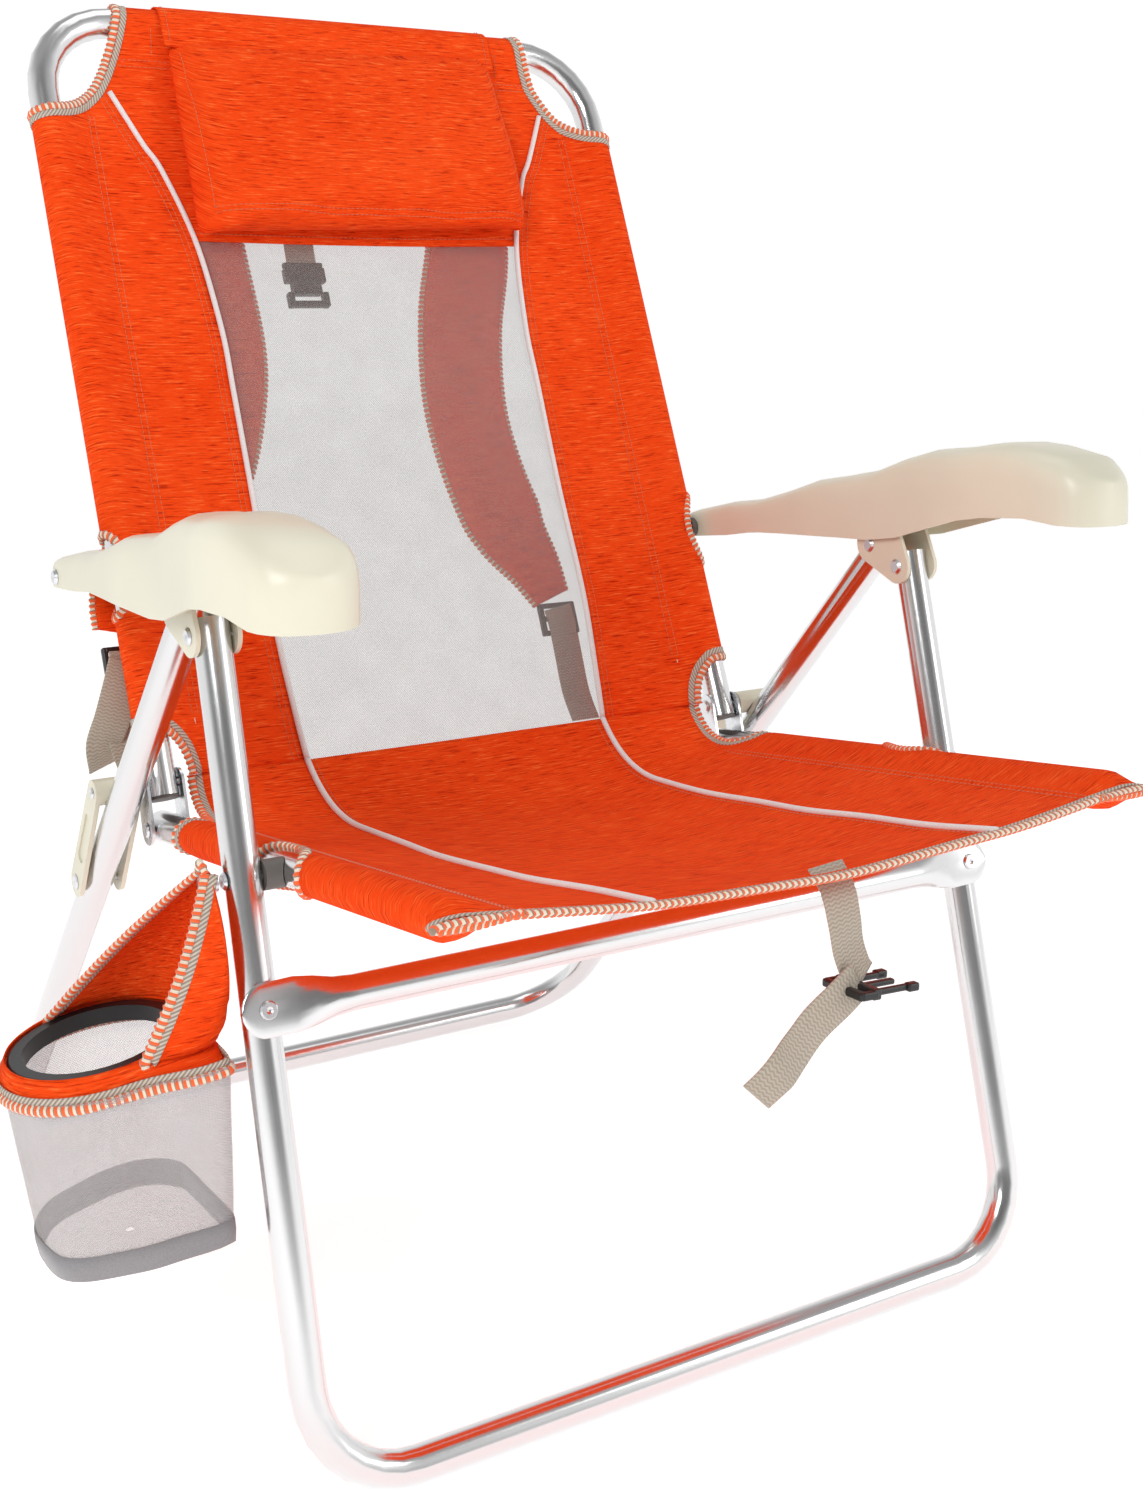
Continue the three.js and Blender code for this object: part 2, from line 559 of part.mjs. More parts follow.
const meshPanel = () => onBack(new THREE.Shape(meshOutline(RUNNING_GAP)), SLING_FORE + 0.5, FABRIC_T - 1);

function slingSeat() {
  const basis = new THREE.Matrix4().makeBasis(acrossX, inSidePlane(seatAft), inSidePlane(seatUp));
  const shape = new THREE.Shape(vectors([
    [-FRAME_X, SEAT_FRONT], [FRAME_X, SEAT_FRONT], [FRAME_X, SEAT_SLEEVE_END], [INNER_X, SEAT_SLEEVE_END],
    [INNER_X, SEAT_REAR], [-INNER_X, SEAT_REAR], [-INNER_X, SEAT_SLEEVE_END], [-FRAME_X, SEAT_SLEEVE_END],
  ]));
  const cloth = new THREE.ExtrudeGeometry(shape, { depth: FABRIC_T, bevelEnabled: false });
  cloth.applyMatrix4(basis).translate(0, seatPivot.x, seatPivot.y);
  const span = (a, b, r) => bothSides((s) => (
    rod(place(s * FRAME_X, seatPoint(a)), place(s * FRAME_X, seatPoint(b)), r, 20)
  ));
  const sleeves = span(SEAT_FRONT, SEAT_SLEEVE_END, SLEEVE_R);
  const bores = span(SEAT_FRONT - PAST, SEAT_SLEEVE_END + PAST, TUBE_R + SLEEVE_GAP);
  const legCuts = bothSides((s) => crosswise(seatPivot, s * (FRAME_X + 1), s * (FRAME_X + 20), 18, 16));
  return cut(union(cloth, ...sleeves), ...bores, ...legCuts);
}

const PILLOW_W = 286;
function pillow() {
  const section = new THREE.Shape();
  const [low, high, rear, fore] = [397, 552, 5, 38];
  section.moveTo(rear, low + 6).quadraticCurveTo(rear, low, rear + 6, low).lineTo(fore - 12, low - 4);
  section.quadraticCurveTo(fore, low, fore, low + 16).lineTo(fore - 6, high - 8);
  section.quadraticCurveTo(fore - 8, high, fore - 16, high).lineTo(rear + 6, high);
  section.quadraticCurveTo(rear, high, rear, high - 6).closePath();
  const basis = new THREE.Matrix4().makeBasis(inSidePlane(backFore), inSidePlane(backUp), new THREE.Vector3(-1, 0, 0));
  const block = new THREE.ExtrudeGeometry(section, { depth: PILLOW_W, bevelEnabled: false, curveSegments: 5 });
  return block.translate(0, 0, -PILLOW_W / 2).applyMatrix4(basis).translate(0, reclinePivot.x, reclinePivot.y);
}

// ---- Carrying straps -------------------------------------------------------------------------

/** Outline of a strip along a list of (x, up) centres, narrowing to endWidth at its last fifth. */
function strip(centres, width, endWidth = width) {
  const curve = new THREE.SplineCurve(centres.map(([x, y]) => new THREE.Vector2(x, y)));
  const count = 14;
  const edge = (s) => Array.from({ length: count + 1 }, (_, i) => {
    const tangent = curve.getTangent(i / count);
    const taper = Math.max(0, i / count - 0.8) / 0.2;
    const reach = (s * (width + (endWidth - width) * taper)) / 2;
    return curve.getPoint(i / count).add(new THREE.Vector2(-tangent.y, tangent.x).multiplyScalar(reach));
  });
  return new THREE.Shape([...edge(1), ...edge(-1).reverse()]);
}

const STRAP_W = 68;
const STRAP_END_W = 30;
const STRAP_AFT = 26; // rear face of the padded straps, behind the back tubes' axis
const STRAP_T = 10;
const strapRoutes = {
  l: [[104, 470], [104, 412], [82, 335], [72, 270], [76, 218], [88, 170], [102, 138], [112, 112]],
  r: [[-125, 470], [-129, 409], [-127, 327], [-136, 279], [-158, 225], [-196, 178], [-230, 140], [-240, 112]],
};
const lowerRoutes = { l: [[113, 76], [117, 40], [119, 8]], r: [[-236, 74], [-236, 40], [-236, 10]] };
const shoulderStrap = (key) => onBack(strip(strapRoutes[key], STRAP_W, STRAP_END_W), -STRAP_AFT, STRAP_T);
const strapWebbing = (key) => onBack(strip(lowerRoutes[key], WEB_W), -STRAP_AFT + 2, WEB_T);

/** A flat buckle block in the back's plane, centred at (x, up). */
function backBuckle(x, up, width, height, thickness) {
  const [w, h] = [width / 2, height / 2];
  const corner = 3;
  const quarter = [[w, h - corner], [w - corner, h]];
  const turns = [[1, 1], [-1, 1], [-1, -1], [1, -1]];
  const outline = turns.flatMap(([sx, sy]) => {
    const points = quarter.map(([a, b]) => [x + sx * a, up + sy * b]);
    return sx * sy > 0 ? points : points.reverse();
  });
  const shape = new THREE.Shape(vectors(outline));
  return onBack(shape, -STRAP_AFT + 1, thickness);
}
const strapLock = (key) => backBuckle(key === 'l' ? 114 : -236, 91, 33, 26, 6);
const topWebbing = () => onBack(strip([[-46, 470], [-46, 430], [-46, 389.5]], WEB_W), -STRAP_AFT + 3, WEB_T);
const topBuckle = () => backBuckle(-48, 371, 32, 36, 8);

/** Put a shape drawn in (x, z) upright, with its front face at the given y. */
function upright(shape, y, thickness) {
  return new THREE.ExtrudeGeometry(shape, { depth: thickness, bevelEnabled: false, curveSegments: 5 })
    .rotateX(Math.PI / 2).translate(0, y + thickness, 0);
}

const seatEdge = seatPoint(SEAT_FRONT);
const WEB_Y = seatEdge.x + 5;

/** Webbing that hangs below the seat's front edge, through a list of (x, drop) centres. */
function hangingWeb(centres) {
  return upright(strip(centres.map(([x, drop]) => [x, seatEdge.y - drop]), WEB_W), WEB_Y, WEB_T);
}
const frontWebbing = () => hangingWeb([[-25, 11], [-14, 30], [6, 48], [17, 62]]);
function frontBuckle() {
  const z = seatEdge.y - 79;
  const outline = [[4, -6], [36, -7], [60, -3], [61, 2], [36, 6.5], [4, 5]];
  return upright(new THREE.Shape(vectors(outline.map(([x, h]) => [x, z + h]))), WEB_Y - 9, 20);
}
const frontTail = () => hangingWeb([[-9, 88], [-22, 104], [-38, 124]]);

// ---- Cup holder ------------------------------------------------------------------------------

const CUP = { x: -340, y: -165, z: 246.5 }; // middle of the ring
const CUP_TILT = 9; // the cup leans this many degrees, its outer side lower
const RING = { radius: 51.5, rim: 8.5, height: 10, edge: 1.5 };
const POUCH = {
  topRadius: 51.5, bottomRadius: 48, depth: 106, wall: 2, below: 1, // below: gap under the ring
  lengthen: 1.1, forward: 5, // drawn out to the front by this factor, then moved by this much
};
const HOOD_T = 1.6;
const HOOD_X = -(legFace + 9.2); // inner face of the hood's back panel
const HOOD_CLEARANCE = 18; // bottom edge of the hood, above the ring's middle

/** Tilt a shape turned about the cup's axis and move it to the cup. */
function atCup(geometry) {
  return geometry.rotateX(Math.PI / 2).rotateY(-radians(CUP_TILT)).translate(CUP.x, CUP.y, CUP.z);
}
const turned = (points, sides) => new THREE.LatheGeometry(vectors(points), sides);

function cupRing() {
  const { radius, rim, height, edge } = RING;
  const inner = radius - rim;
  const h = height / 2;
  return atCup(turned([
    [inner, -h], [radius - edge, -h], [radius, -h + edge], [radius, h - edge], [radius - edge, h],
    [inner, h], [inner, -h],
  ], 36));
}

/** Shear a shape that leans with the cup, so that it hangs straight down, and draw it out to the front. */
function hungPlumb(geometry) {
  const lean = Math.tan(radians(CUP_TILT));
  const shear = new THREE.Matrix4().makeShear(0, 0, 0, 0, lean, 0);
  const atOrigin = geometry.translate(-CUP.x, -CUP.y, -CUP.z);
  const hung = atOrigin.applyMatrix4(shear).scale(1, POUCH.lengthen, 1);
  return hung.translate(CUP.x, CUP.y - POUCH.forward, CUP.z);
}

function cupPouch() {
  const { topRadius, bottomRadius, depth, wall, below } = POUCH;
  const top = -RING.height / 2 - below;
  const bottom = top - depth;
  const pouch = atCup(turned([
    [0, bottom], [bottomRadius, bottom], [topRadius, top], [topRadius - wall, top],
    [bottomRadius - wall, bottom + wall], [0, bottom + wall],
  ], 32));
  return hungPlumb(pouch);
}

const cupSnapPoint = side(seatPivot.x + 6, seatPivot.y - 2);
function cupHood() {
  const rimZ = CUP.z + HOOD_CLEARANCE;
  const outline = hull([[cupSnapPoint, 11], [side(CUP.y - 48, rimZ), 3], [side(CUP.y + 34, rimZ), 3]]);
  return cut(slab(outline, HOOD_X - HOOD_T, HOOD_X), pinHole(cupSnapPoint, HOOD_X - 5, HOOD_X + 5));
}

function cupSnap() {
  const inner = legFace + 3;
  const face = -HOOD_X - RUNNING_GAP;
  const outer = -HOOD_X + HOOD_T + RUNNING_GAP;
  const stem = [[0, inner], [5.5, inner], [5.5, face], [PIN_R, face]];
  const cap = [[PIN_R, outer], [6, outer], [5, outer + 1.5], [0, outer + 1.9]];
  const stud = turned([...stem, ...cap], 16);
  return mirrored(stud.rotateZ(-Math.PI / 2).translate(0, cupSnapPoint.x, cupSnapPoint.y));
}

// ---- The chair -------------------------------------------------------------------------------

const chair = new THREE.Group();

function add(name, geometry, look) {
  const mesh = new THREE.Mesh(geometry, look);
  mesh.name = name;
  chair.add(mesh);
}

/** A piece made at +X and its mirror image at -X. */
function addPair(name, geometry, look) {
  add(`${name}_l`, geometry, look());
  add(`${name}_r`, mirrored(geometry), look());
}

add('front_leg_frame', frontLegFrame(), aluminium());
add('rear_leg_frame', rearLegFrame(), aluminium());
add('cross_bar', crossBar(), aluminium());
add('back_frame', backFrame(), aluminium());
addPair('seat_tube', seatTube(), aluminium);
addPair('cross_bar_rivet', crossBarRivet(), steel);
addPair('leg_bracket', legBracket(), creamPlastic);
addPair('front_leg_rivet', bracketRivet(frontRivet), steel);
addPair('rear_leg_rivet', bracketRivet(rearPivot), steel);
addPair('seat_spacer', seatSpacer(), greyPlastic);
addPair('seat_rivet', seatRivet(), steel);
addPair('inner_plate', reclinePlate(innerPlateX), steel);
addPair('outer_plate', reclinePlate(outerPlateX), steel);
addPair('plate_rivet', plateStackRivet(plateRivet), steel);
addPair('recline_rivet', plateStackRivet(reclinePivot), steel);
addPair('back_tube_plug', backTubePlug(), greyPlastic);
addPair('link', link(), creamPlastic);
addPair('link_rivet', linkRivet(), steel);
addPair('link_screw', linkScrew(), steel);
addPair('armrest_spacer', armrestSpacer(), greyPlastic);
addPair('armrest_screw', armrestScrew(), steel);
add('armrest_l', armrest(ARM_TILT.l), creamPlastic());
add('armrest_r', mirrored(armrest(ARM_TILT.r)), creamPlastic());
add('sling_back', slingBack(), orangeCloth());
add('sling_seat', slingSeat(), orangeCloth());
add('mesh_panel', meshPanel(), meshCloth());
add('pillow', pillow(), orangeCloth());
for (const key of ['l', 'r']) {
  add(`shoulder_strap_${key}`, shoulderStrap(key), orangeCloth());
  add(`strap_lock_${key}`, strapLock(key), blackPlastic());
  add(`strap_webbing_${key}`, strapWebbing(key), taupeWebbing());
}
add('top_webbing', topWebbing(), taupeWebbing());
add('top_buckle', topBuckle(), blackPlastic());
add('front_webbing', frontWebbing(), taupeWebbing());
add('front_buckle', frontBuckle(), blackPlastic());
add('front_webbing_tail', frontTail(), taupeWebbing());
add('cup_ring', cupRing(), blackPlastic());
add('cup_pouch', cupPouch(), meshCloth());
add('cup_hood', cupHood(), orangeCloth());
add('cup_snap', cupSnap(), steel());

export default chair;
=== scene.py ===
"""Looks for the folding beach chair: camera, studio, materials and every soft piece.

Metres, in the row frame: the chair faces -Y, +Z is up and the sitter's left is +X. Positions come
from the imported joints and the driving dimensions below. A cloth piece is drawn flat, as it is cut,
and a wrap function then lays each flat point over the tubes.
"""

import json
import math

import bpy
import numpy as np
from mathutils import Matrix, Vector, noise
from mathutils.bvhtree import BVHTree
from mathutils.geometry import delaunay_2d_cdt


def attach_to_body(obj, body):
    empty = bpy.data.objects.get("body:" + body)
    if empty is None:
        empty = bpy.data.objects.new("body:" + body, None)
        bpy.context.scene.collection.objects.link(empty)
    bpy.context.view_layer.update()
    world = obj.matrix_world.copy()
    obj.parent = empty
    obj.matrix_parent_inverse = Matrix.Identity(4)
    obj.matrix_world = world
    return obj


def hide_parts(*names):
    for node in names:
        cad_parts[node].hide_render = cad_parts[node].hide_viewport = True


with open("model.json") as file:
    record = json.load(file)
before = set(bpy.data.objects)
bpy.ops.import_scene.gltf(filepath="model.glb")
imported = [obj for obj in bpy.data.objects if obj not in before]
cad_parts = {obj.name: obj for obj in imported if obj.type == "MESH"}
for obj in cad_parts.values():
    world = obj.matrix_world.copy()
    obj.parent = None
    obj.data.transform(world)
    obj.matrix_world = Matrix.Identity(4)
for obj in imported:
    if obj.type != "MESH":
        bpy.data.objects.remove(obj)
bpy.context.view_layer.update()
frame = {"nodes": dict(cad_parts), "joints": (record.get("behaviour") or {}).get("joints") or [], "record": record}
NODES = frame["nodes"]
JOINT = {joint["name"]: Vector(joint["pos_m"]) for joint in frame["joints"]}

# ---- Driving dimensions ----------------------------------------------------------------------

BACK_LEAN = math.radians(21.6)
SEAT_RAKE = math.radians(6.15)
TUBE_R = 0.011
FRAME_X = 0.2355  # seat and back tube centres
BACK_LENGTH = 0.573  # recline pivot to the top bar's axis
CLOTH_T = 0.0011
SLEEVE_R = TUBE_R + CLOTH_T + 0.0005  # outside of the cloth where it goes round a tube
SEAM_X = 0.203  # stitched edge of the side sleeves
SEAM_SPAN = FRAME_X - SEAM_X
WEB_W = 0.025
WEB_T = 0.0016

X_AXIS = Vector((1, 0, 0))
RECLINE = JOINT["recline"]
SEAT_PIVOT = JOINT["fold"]
BACK_UP = Vector((0, math.sin(BACK_LEAN), math.cos(BACK_LEAN)))
BACK_FORE = Vector((0, -math.cos(BACK_LEAN), math.sin(BACK_LEAN)))
SEAT_AFT = Vector((0, math.cos(SEAT_RAKE), -math.sin(SEAT_RAKE)))
SEAT_UP = Vector((0, math.sin(SEAT_RAKE), math.cos(SEAT_RAKE)))

ORANGE = (0.90, 0.062, 0.005)
ORANGE_DARK = (0.46, 0.016, 0.002)
ORANGE_LIGHT = (0.96, 0.170, 0.035)
CREAM = (0.72, 0.69, 0.55)
TAUPE = (0.30, 0.245, 0.19)
TAUPE_LIGHT = (0.50, 0.44, 0.36)
MESH_GREY = (0.37, 0.355, 0.34)
POUCH_GREY = (0.58, 0.56, 0.56)
WHITE = (0.86, 0.85, 0.84)
BLACK = (0.012, 0.012, 0.013)
THREAD = (0.72, 0.16, 0.06)


def back_point(x, up, fore=0.0):
    """A point in the back's plane: across, up from the recline pivot, and ahead of the tubes' axis."""
    return RECLINE + X_AXIS * x + BACK_UP * up + BACK_FORE * fore


def seat_point(x, aft, up=0.0):
    """A point in the seat's plane: across, back from the seat pivot, and above the tubes' axis."""
    return SEAT_PIVOT + X_AXIS * x + SEAT_AFT * aft + SEAT_UP * up


# ---- Camera and studio -----------------------------------------------------------------------


CAMERA_PLACE = (-0.6615, -1.2013, 0.6592)
CAMERA_TURNS = (31.695, 8.326, -0.596)  # yaw from straight ahead, downward pitch, and roll, in degrees
LENS = 45.17
LENS_SHIFT = (0.0098, -0.0983)


def make_camera():
    """The photograph's viewpoint: near the front left corner, just above the armrests."""
    yaw, pitch, roll = (math.radians(turn) for turn in CAMERA_TURNS)
    ahead = Vector((math.sin(yaw) * math.cos(pitch), math.cos(yaw) * math.cos(pitch), -math.sin(pitch)))
    level = Vector((math.cos(yaw), -math.sin(yaw), 0))
    upright = level.cross(ahead)
    right = level * math.cos(roll) + upright * math.sin(roll)
    top = upright * math.cos(roll) - level * math.sin(roll)
    data = bpy.data.cameras.new("camera")
    data.lens = LENS
    data.sensor_width = 36.0
    data.shift_x, data.shift_y = LENS_SHIFT
    camera = bpy.data.objects.new("camera", data)
    rotation = Matrix((right, top, -ahead)).transposed()
    camera.matrix_world = Matrix.Translation(CAMERA_PLACE) @ rotation.to_4x4()
    bpy.context.scene.collection.objects.link(camera)
    bpy.context.scene.camera = camera


def area_light(name, place, aim, size, watts):
    """A rectangular lamp aimed at a point."""
    data = bpy.data.lights.new(name, "AREA")
    data.shape = "RECTANGLE"
    data.size, data.size_y = size
    data.energy = watts
    light = bpy.data.objects.new(name, data)
    light.location = place
    light.rotation_euler = (Vector(aim) - Vector(place)).to_track_quat("-Z", "Y").to_euler()
    bpy.context.scene.collection.objects.link(light)


BEHIND_CAMERA = (-0.525, -0.851, 0.0)  # level direction from the chair to behind the camera
FLOOR_GLOW = 0.50
LAMPS = (  # name, place, what it is aimed at, size and watts
    ("key", (-1.7, -1.6, 1.7), (0, 0, 0.45), (0.8, 1.2), 29),
    ("fill", (1.6, -1.9, 1.2), (0, 0, 0.4), (0.5, 1.5), 9),
    ("top", (0.3, 0.2, 2.4), (0, 0, 0.3), (1.2, 1.2), 6),
)


def graded(tree, factor, bounds, values):
    """factor runs from the first to the second bound, the result from the first to the second value."""
    node = tree.nodes.new("ShaderNodeMapRange")
    node.interpolation_type = "SMOOTHSTEP"
    tree.links.new(factor, node.inputs["Value"])
    for socket, value in zip(("From Min", "From Max", "To Min", "To Max"), (*bounds, *values)):
        node.inputs[socket].default_value = value
    return node.outputs["Result"]


def towards(tree, vector, direction):
    """How far a vector goes in a direction."""
    node = tree.nodes.new("ShaderNodeVectorMath")
    node.operation = "DOT_PRODUCT"
    tree.links.new(vector, node.inputs[0])
    node.inputs[1].default_value = direction
    return node.outputs["Value"]


def product(tree, a, b):
    """Two node values multiplied."""
    node = tree.nodes.new("ShaderNodeMath")
    node.operation = "MULTIPLY"
    tree.links.new(a, node.inputs[0])
    tree.links.new(b, node.inputs[1])
    return node.outputs[0]


def make_studio():
    """White surroundings, darker overhead and behind the camera so that metal shows contrast."""
    world = bpy.data.worlds.new("studio")
    world.use_nodes = True
    tree = world.node_tree
    direction = tree.nodes.new("ShaderNodeTexCoord").outputs["Generated"]
    overhead = graded(tree, towards(tree, direction, (0, 0, 1)), (0.25, 0.85), (1.03, 0.42))
    behind = graded(tree, towards(tree, direction, BEHIND_CAMERA), (0.30, 0.82), (1.0, 0.22))
    tree.links.new(product(tree, overhead, behind), tree.nodes["Background"].inputs["Strength"])
    tree.nodes["Background"].inputs["Color"].default_value = (1, 1, 1, 1)
    bpy.context.scene.world = world
    for lamp in LAMPS:
        area_light(*lamp)
    bpy.context.scene.view_settings.view_transform = "Standard"


# ---- Material helpers ------------------------------------------------------------------------


class Look:
    """A node material, built by naming each node once and joining them."""

    def __init__(self, name, colour=(0.8, 0.8, 0.8), roughness=0.5, metallic=0.0, **sockets):
        self.material = bpy.data.materials.new(name)
        self.material.use_nodes = True
        self.tree = self.material.node_tree
        self.shader = self.tree.nodes["Principled BSDF"]
        self.output = self.tree.nodes["Material Output"]
        self.shader.inputs["Base Color"].default_value = (*colour, 1)
        self.shader.inputs["Roughness"].default_value = roughness
        self.shader.inputs["Metallic"].default_value = metallic
        for socket, value in sockets.items():
            self.shader.inputs[socket.replace("_", " ")].default_value = value

    def node(self, kind, inputs=None, **settings):
        made = self.tree.nodes.new(kind)
        for key, value in settings.items():
            setattr(made, key, value)
        for key, value in (inputs or {}).items():
            if isinstance(value, bpy.types.NodeSocket):
                self.tree.links.new(value, made.inputs[key])
            else:
                made.inputs[key].default_value = value
        return made

    def math(self, operation, a, b=0.0):
        return self.node("ShaderNodeMath", {0: a, 1: b}, operation=operation).outputs[0]

    def stretched(self, scale, source="Object"):
        """Texture coordinates scaled by a different number each way."""
        if source == "UV":
            place = self.node("ShaderNodeUVMap", uv_map="flat").outputs["UV"]
        else:
            place = self.node("ShaderNodeTexCoord").outputs[source]
        return self.node("ShaderNodeMapping", {"Vector": place, "Scale": scale}).outputs["Vector"]

    def noise(self, vector, scale=1.0, detail=3.0, roughness=0.5):
        inputs = {"Vector": vector, "Scale": scale, "Detail": detail, "Roughness": roughness}
        return self.node("ShaderNodeTexNoise", inputs).outputs["Fac"]

    def ramp(self, factor, *stops):
        made = self.node("ShaderNodeValToRGB", {"Fac": factor})
        elements = made.color_ramp.elements
        while len(elements) < len(stops):
            elements.new(0.5)
        for element, (position, colour) in zip(elements, stops):
            element.position = position
            element.color = (*colour, 1) if len(colour) == 3 else colour
        return made.outputs["Color"]

    def mix(self, factor, a, b, blend="MIX"):
        made = self.node("ShaderNodeMix", data_type="RGBA", blend_type=blend)
        for index, value in ((0, factor), (6, a), (7, b)):
            if isinstance(value, bpy.types.NodeSocket):
                self.tree.links.new(value, made.inputs[index])
            else:
                made.inputs[index].default_value = value if index == 0 else (*value, 1)
        return made.outputs[2]

    def colour(self, socket):
        self.tree.links.new(socket, self.shader.inputs["Base Color"])
        return self

    def rough(self, factor, low, high):
        value = self.math("MULTIPLY_ADD", factor, high - low)
        value.node.inputs[2].default_value = low
        self.tree.links.new(value, self.shader.inputs["Roughness"])
        return self

    def bump(self, height, distance, strength=1.0):
        made = self.node("ShaderNodeBump", {"Height": height, "Distance": distance, "Strength": strength})
        self.tree.links.new(made.outputs["Normal"], self.shader.inputs["Normal"])
        return self


def weave_height(look, coordinates, pitch):
    """Plain weave: threads over and under in both directions."""
    split = look.node("ShaderNodeSeparateXYZ", {0: coordinates})
    waves = []
    for axis in ("X", "Y"):
        phase = look.math("MULTIPLY", split.outputs[axis], 2 * math.pi / pitch)
        waves.append(look.math("SINE", phase))
    return look.math("MULTIPLY", waves[0], waves[1])


def heather_cloth(name="heather_cloth"):
    """Orange polyester with short darker and lighter flecks that run across the chair."""
    look = Look(name, ORANGE, 0.9)
    look.shader.inputs["Specular IOR Level"].default_value = 0.06
    flecks = look.noise(look.stretched((48, 820, 1), "UV"), detail=2)
    fine = look.noise(look.stretched((120, 2100, 1), "UV"), detail=2)
    slow = look.noise(look.stretched((7, 16, 1), "UV"), detail=2)
    mixed = look.math("ADD", look.math("MULTIPLY", flecks, 0.6), look.math("MULTIPLY", fine, 0.4))
    flecked = look.ramp(mixed, (0.37, ORANGE_DARK), (0.46, ORANGE), (0.55, ORANGE), (0.64, ORANGE_LIGHT))
    look.colour(look.mix(0.10, flecked, look.ramp(slow, (0.3, ORANGE_DARK), (0.7, ORANGE_LIGHT))))
    threads = weave_height(look, look.stretched((1, 1, 1), "UV"), 0.0013)
    look.bump(look.math("ADD", look.math("MULTIPLY", threads, 0.3), mixed), 0.0004, 0.45)
    return look.material


def mesh_cloth(name, opacity, tint):
    """Open mesh: a fine grid of pale threads that lets part of what is behind show through."""
    look = Look(name, tint, 0.9)
    look.shader.inputs["Specular IOR Level"].default_value = 0.15
    place = look.stretched((1, 1, 1), "UV")
    threads = weave_height(look, place, 0.0016)
    cloudy = look.noise(look.stretched((30, 30, 1), "UV"))
    solid = look.math("ADD", look.math("MULTIPLY", threads, 0.12), opacity - 0.04)
    solid = look.math("ADD", solid, look.math("MULTIPLY", cloudy, 0.08))
    look.tree.links.new(solid, look.shader.inputs["Alpha"])
    look.bump(threads, 0.0003, 0.5)
    return look.material


def aluminium():
    """Polished tube with faint drawn lines and smudges."""
    look = Look("polished_aluminium", (0.71, 0.71, 0.715), 0.2, 1.0)
    smudge = look.noise(look.stretched((14, 14, 14)), detail=5)
    drawn = look.noise(look.stretched((900, 60, 60)), detail=2)
    look.rough(smudge, 0.13, 0.27)
    look.bump(drawn, 0.00004, 0.25)
    return look.material


def bright_steel():
    """Rivets and screws, with fine scratches."""
    look = Look("bright_steel", (0.72, 0.73, 0.75), 0.25, 1.0)
    scratch = look.noise(look.stretched((260, 260, 260)), detail=4)
    look.rough(scratch, 0.18, 0.4)
    look.bump(scratch, 0.00005, 0.4)
    return look.material


def moulded_plastic(name, colour, roughness, speckle=0.03):
    """Satin moulded plastic: a fine grain, and slow colour and gloss changes."""
    look = Look(name, colour, roughness)
    slow = look.noise(look.stretched((9, 9, 9)), detail=2)
    grain = look.noise(look.stretched((1500, 1500, 1500)), detail=2)
    dark = tuple(c * (1 - speckle * 2) for c in colour)
    light = tuple(min(1, c * (1 + speckle)) for c in colour)
    look.colour(look.ramp(slow, (0.35, dark), (0.65, light)))
    look.rough(slow, roughness - 0.06, roughness + 0.08)
    look.bump(grain, 0.00006, 0.35)
    return look.material


def woven_webbing():
    """Flat woven strap: chevron ribs along its length."""
    look = Look("woven_webbing", TAUPE, 0.88, Sheen_Weight=0.3)
    place = look.stretched((1, 1, 1), "UV")
    split = look.node("ShaderNodeSeparateXYZ", {0: place})
    rib = look.math("FRACT", look.math("MULTIPLY", split.outputs["X"], 1 / 0.005))
    fold = look.math("ABSOLUTE", look.math("SUBTRACT", rib, 0.5))
    rise = look.math("MULTIPLY", split.outputs["Y"], 2 * math.pi / 0.0024)
    ribs = look.math("SINE", look.math("ADD", rise, look.math("MULTIPLY", fold, 6.0)))
    fibre = look.noise(look.stretched((900, 300, 1), "UV"))
    factor = look.math("ADD", look.math("MULTIPLY", ribs, 0.25), look.math("MULTIPLY", fibre, 0.5))
    factor = look.math("ADD", factor, 0.25)
    look.colour(look.ramp(factor, (0.15, TAUPE), (0.85, TAUPE_LIGHT)))
    look.bump(factor, 0.0005, 0.6)
    return look.material


def bound_tape():
    """Taupe tape folded over a raw edge, with a diagonal hatch."""
    look = Look("bound_tape", TAUPE_LIGHT, 0.85)
    split = look.node("ShaderNodeSeparateXYZ", {0: look.stretched((1, 1, 1), "UV")})
    diagonal = look.math("ADD", split.outputs["X"], split.outputs["Y"])
    hatch = look.math("SINE", look.math("MULTIPLY", diagonal, 2 * math.pi / 0.003))
    half = look.math("ADD", look.math("MULTIPLY", hatch, 0.5), 0.5)
    look.colour(look.ramp(half, (0.2, TAUPE), (0.8, (0.60, 0.54, 0.46))))
    look.bump(half, 0.0004, 0.6)
    return look.material


def overlock_cord():
    """Edge cord sewn over with thread in three colours, one after another."""
    look = Look("overlock_cord", ORANGE, 0.8, Sheen_Weight=0.2)
    split = look.node("ShaderNodeSeparateXYZ", {0: look.stretched((1, 1, 1), "UV")})
    along = look.math("MULTIPLY", split.outputs["X"], 1 / OVERLOCK_PITCH)
    turn = look.math("FRACT", look.math("ADD", along, look.math("MULTIPLY", split.outputs["Y"], 0.35)))
    stripe = look.node("ShaderNodeValToRGB", {"Fac": turn})
    stripe.color_ramp.interpolation = "CONSTANT"
    stripe.color_ramp.elements[0].color = (0.86, 0.13, 0.03, 1)
    for position, colour in ((0.45, (0.80, 0.70, 0.56, 1)), (0.84, (0.30, 0.22, 0.16, 1))):
        stripe.color_ramp.elements.new(position).color = colour
    stripe.color_ramp.elements[-1].color = (0.30, 0.22, 0.16, 1)
    look.colour(stripe.outputs["Color"])
    look.bump(look.noise(look.stretched((900, 900, 900)), detail=2), 0.0004, 0.5)
    return look.material


